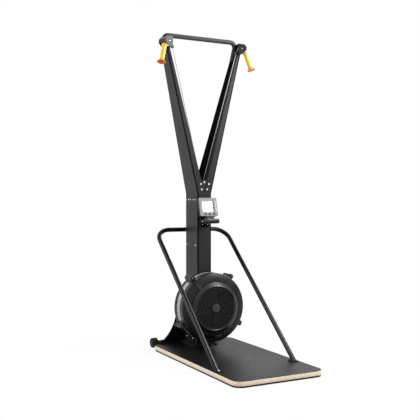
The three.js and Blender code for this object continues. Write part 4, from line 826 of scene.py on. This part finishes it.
def monitor_shadow_and_highlight_strips():
    """The dark strip beside the display, painted shade, and the pale strip along the barrel, a painted
    highlight.
    """
    low_key, high_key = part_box("monitor_key_white_1"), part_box("monitor_key_white_5")
    start, end = (sum(box, Vector()) / 2 for box in (low_key, high_key))
    lean = math.atan2(end.y - start.y, end.z - start.z)
    face = Vector((0, -math.cos(lean), math.sin(lean)))
    middle = (start + end) / 2 + face * SHADOW_STRIP_PROUD
    middle.x = SHADOW_STRIP_X
    length = (end - start).length + 0.012
    # Painted shade: a dark strip at the display's right edge, where its recess wall lies in shadow
    bar("display_side_shadow_strip", (0.0072, 0.0012, length), middle, -lean, "key_dark")
    # Painted highlight: a pale strip along the top of the black barrel
    up_front = math.radians(52)
    out_from_axis = Vector((0, -math.cos(up_front), math.sin(up_front))) * BARREL_RADIUS
    on_top = BARREL + Vector((HIGHLIGHT_STRIP_ASIDE, 0, 0)) + out_from_axis
    bar("barrel_highlight_strip", (0.084, 0.0012, 0.006), on_top, -up_front, "monitor_shell")


# Assembly

for slot, nodes in WEARS.items():
    for node, width in nodes.items():
        finish = GRIP[node.rsplit("_", 1)[1]] if slot == "grip_yellow" else OWN_FINISH.get(node)
        surfaced(node, slot, width, finish)

perforated_screen()
# The knot's darker braid is painted shade, for the bell's hollow that it sits in
knot_painted_shade_finish = braid("knot_painted_shade_braid", 64)
# The groove strips' near-black colour is painted shade
groove_shadow_black = moulded("groove_shadow_black", 4, 7, 0.7, 0.03)
for side, s in SIDES:
    pull_cord(side)
    knot(side)
    groove_shadow_strip(side, s)

# Where fasteners stand, in metres: Y and Z along the mast's sides, offsets from the pieces they hold

JOINT_BOLTS = ((0.388, 0.420, 0.467, 0.499, 0.534), 1.078)
SADDLE_BOLTS = ((0.390, 0.525), 0.754)
HEAD_YAW = math.radians(10)
HEAD_FRONT = 0.0229
SHOE_SKIN = 0.0053
SHOE_BOLTS = ((0.420, 0.520), 0.083)
FLANGE_THICKNESS = 0.005
FLANGE_BOLTS_X, FLANGE_BOLTS_Y = 0.076, (0.428, 0.516)
BASE_BOLT_X, BASE_BOLT_Y = 0.080, 0.344
RAIL_BOLT_IN = 0.010
RAIL_BACK_IN, RAIL_BACK_ASIDE = 0.012, 0.014
FORK_BOLT_X, FORK_BOLT_Z = 0.032, 1.188
GUSSET_BOLT_Z = 1.201
SHEET_BOLTS_X, SHEET_BOLTS_Z = 0.022, 1.150
LUG_RADIUS, LUG_DEPTH = 0.259, 0.041
LUG_SHARES = (0.15, 0.35, 0.575, 0.9167, 0.75)
MONITOR_BOLTS_X, MONITOR_BOLTS_Y, MONITOR_BOLTS_Z = 0.021, 0.3399, 0.901

blackened = powder_coat("blackened_steel", 22, 30, 0.4, 0.25)
fine = button_bolt(0.0028)
small = button_bolt(0.0035)
middle = button_bolt(0.0042)
cap = hex_bolt(0.0062)
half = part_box("column")[1].x
cover_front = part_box("column_front_cover")[0].y
gusset_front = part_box("front_gusset_plate")[0].y
axle_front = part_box("redirect_axle_left")[0].y
base_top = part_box("column_base_plate")[1].z
ahead = (0, -1, 0)
up = (0, 0, 1)
for side, s in SIDES:
    out = (s, 0, 0)
    rows = (JOINT_BOLTS, SADDLE_BOLTS)
    spots = [((s * half, y, z), out) for ys, z in rows for y in ys]
    fastened("mast_side_bolts_" + side, small, spots)

    pulley = sum(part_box("head_pulley_" + side), Vector()) / 2
    square_on = Vector((-s * math.sin(HEAD_YAW), -math.cos(HEAD_YAW), 0))
    fastened("head_bolt_" + side, fine, [(pulley + square_on * HEAD_FRONT, square_on)])

    shoe = s * (half + SHOE_SKIN)
    spots = [((shoe, y, SHOE_BOLTS[1]), out) for y in SHOE_BOLTS[0]]
    fastened("foot_bolts_" + side, middle, spots)
    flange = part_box("foot_bracket_" + side)[0].z + FLANGE_THICKNESS
    spots = [((s * FLANGE_BOLTS_X, y, flange), up) for y in FLANGE_BOLTS_Y]
    fastened("foot_flange_bolts_" + side, cap, spots, blackened)
    fastened("base_plate_bolts_" + side, cap, [((s * BASE_BOLT_X, BASE_BOLT_Y, base_top), up)], blackened)

    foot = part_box("handrail_foot_" + side)
    middle_x = (foot[0].x + foot[1].x) / 2
    spots = [((middle_x, foot[0].y + RAIL_BOLT_IN, foot[1].z), up)]
    fastened("rail_foot_bolt_" + side, middle, spots, None if side == "left" else blackened)
    across = (-RAIL_BACK_ASIDE, RAIL_BACK_ASIDE)
    spots = [((middle_x + x, foot[1].y - RAIL_BACK_IN, foot[1].z), up) for x in across]
    fastened("rail_foot_back_bolts_" + side, middle, spots, blackened)

    fastened("fork_bolt_caps_" + side, middle, [((s * FORK_BOLT_X, axle_front, FORK_BOLT_Z), ahead)])

spots = [((0, gusset_front, GUSSET_BOLT_Z), ahead)]
spots += [((x, cover_front, SHEET_BOLTS_Z), ahead) for x in (-SHEET_BOLTS_X, SHEET_BOLTS_X)]
fastened("mast_front_bolts", middle, spots)

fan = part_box("fan_axle")
fan_z = (fan[0].z + fan[1].z) / 2
lug_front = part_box("fan_front_cover")[0].y + LUG_DEPTH
spots = []
for share in LUG_SHARES:
    turn = 2 * math.pi * share
    spots.append(((LUG_RADIUS * math.cos(turn), lug_front, fan_z + LUG_RADIUS * math.sin(turn)), ahead))
fastened("fan_lug_bolts", small, spots, bright_metal("worn_steel", 120, 0.4))
pivot_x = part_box("monitor_bracket")[1].x
spots = [((s * pivot_x, BARREL.y, BARREL.z), (s, 0, 0)) for _, s in SIDES]
fastened("barrel_pin_bolts", small, spots)
across = (-MONITOR_BOLTS_X, MONITOR_BOLTS_X)
spots = [((x, MONITOR_BOLTS_Y, MONITOR_BOLTS_Z), ahead) for x in across]
fastened("monitor_bracket_bolts", small, spots)
monitor_shadow_and_highlight_strips()
for model in (fine, small, middle, cap):
    bpy.data.objects.remove(model)


# Floor, background and light

SURROUND_LIGHT = 0.42


def background():
    """White to the eye and in reflections, plain soft light on surfaces."""
    world = bpy.data.worlds.new("white_surround")
    world.use_nodes = True
    bpy.context.scene.world = world
    nodes, links = world.node_tree.nodes, world.node_tree.links
    nodes.clear()
    path = nodes.new("ShaderNodeLightPath")
    seen = path.outputs["Is Camera Ray"]
    for kind in ("Is Glossy Ray", "Is Transmission Ray"):
        either = nodes.new("ShaderNodeMath")
        either.operation = "MAXIMUM"
        links.new(seen, either.inputs[0])
        links.new(path.outputs[kind], either.inputs[1])
        seen = either.outputs[0]
    choice = nodes.new("ShaderNodeMixShader")
    links.new(seen, choice.inputs[0])
    for place, strength in ((1, SURROUND_LIGHT), (2, 1.0)):
        surround = nodes.new("ShaderNodeBackground")
        surround.inputs["Color"].default_value = (1, 1, 1, 1)
        surround.inputs["Strength"].default_value = strength
        links.new(surround.outputs[0], choice.inputs[place])
    out = nodes.new("ShaderNodeOutputWorld")
    links.new(choice.outputs[0], out.inputs["Surface"])


def floor():
    """A pale floor that keeps a trace of the machine's soft shadow and fades to white away from it."""
    near, away, glow_near = 0.7, 1.3, 0.92
    bpy.ops.mesh.primitive_plane_add(size=30, location=(0, 0, -0.0003))
    piece = bpy.context.object
    piece.name = "floor"
    f = Finish("pale_floor", {"Base Color": (0.82, 0.82, 0.82, 1), "Roughness": 0.85})
    camera_ray = f.node("ShaderNodeLightPath", out="Is Camera Ray")
    glossy = f.node("ShaderNodeLightPath", out="Is Glossy Ray")
    through = f.node("ShaderNodeLightPath", out="Is Transmission Ray")
    x, y = f.axis(0), f.axis(1)
    far = (x * x + y * y).root().step(near, away)
    seen = camera_ray.most(glossy).most(through)
    glow = f.node("ShaderNodeEmission", None, {"Color": (1, 1, 1, 1), "Strength": 1.0})
    lit = Wire(f, f.shader.outputs[0])
    both = f.node("ShaderNodeMixShader", None, {0: seen * far.most(glow_near), 1: lit, 2: glow})
    f.tree.links.new(both.socket, f.tree.nodes["Material Output"].inputs["Surface"])
    piece.data.materials.append(f.material)


def lamp(name, at, aim, size, power):
    """A soft rectangular lamp, size in metres and power in watts, that no camera ray sees."""
    bpy.ops.object.light_add(type="AREA", location=at)
    light = bpy.context.object
    light.name = name
    light.visible_camera = False
    light.rotation_euler = (Vector(aim) - Vector(at)).to_track_quat("-Z", "Y").to_euler()
    light.data.shape = "RECTANGLE"
    light.data.size, light.data.size_y = size
    light.data.energy = power


background()
floor()
lamp("key_softbox", at=(2.1, -2.2, 2.8), aim=(0, 0.2, 1.2), size=(1.0, 1.4), power=30)
lamp("top_softbox", at=(1.4, -0.8, 3.0), aim=(0, 0.18, 0.48), size=(0.8, 0.5), power=48)
lamp("upper_softbox", at=(1.65, -2.15, 2.1), aim=(0, 0.35, 1.8), size=(0.6, 0.6), power=22)
lamp("left_softbox", at=(-3.0, 0.9, 2.4), aim=(0, 0.1, 0.9), size=(2.0, 1.6), power=70)
lamp("right_softbox", at=(3.0, 1.1, 2.5), aim=(0, 0.1, 0.7), size=(2.0, 1.6), power=70)
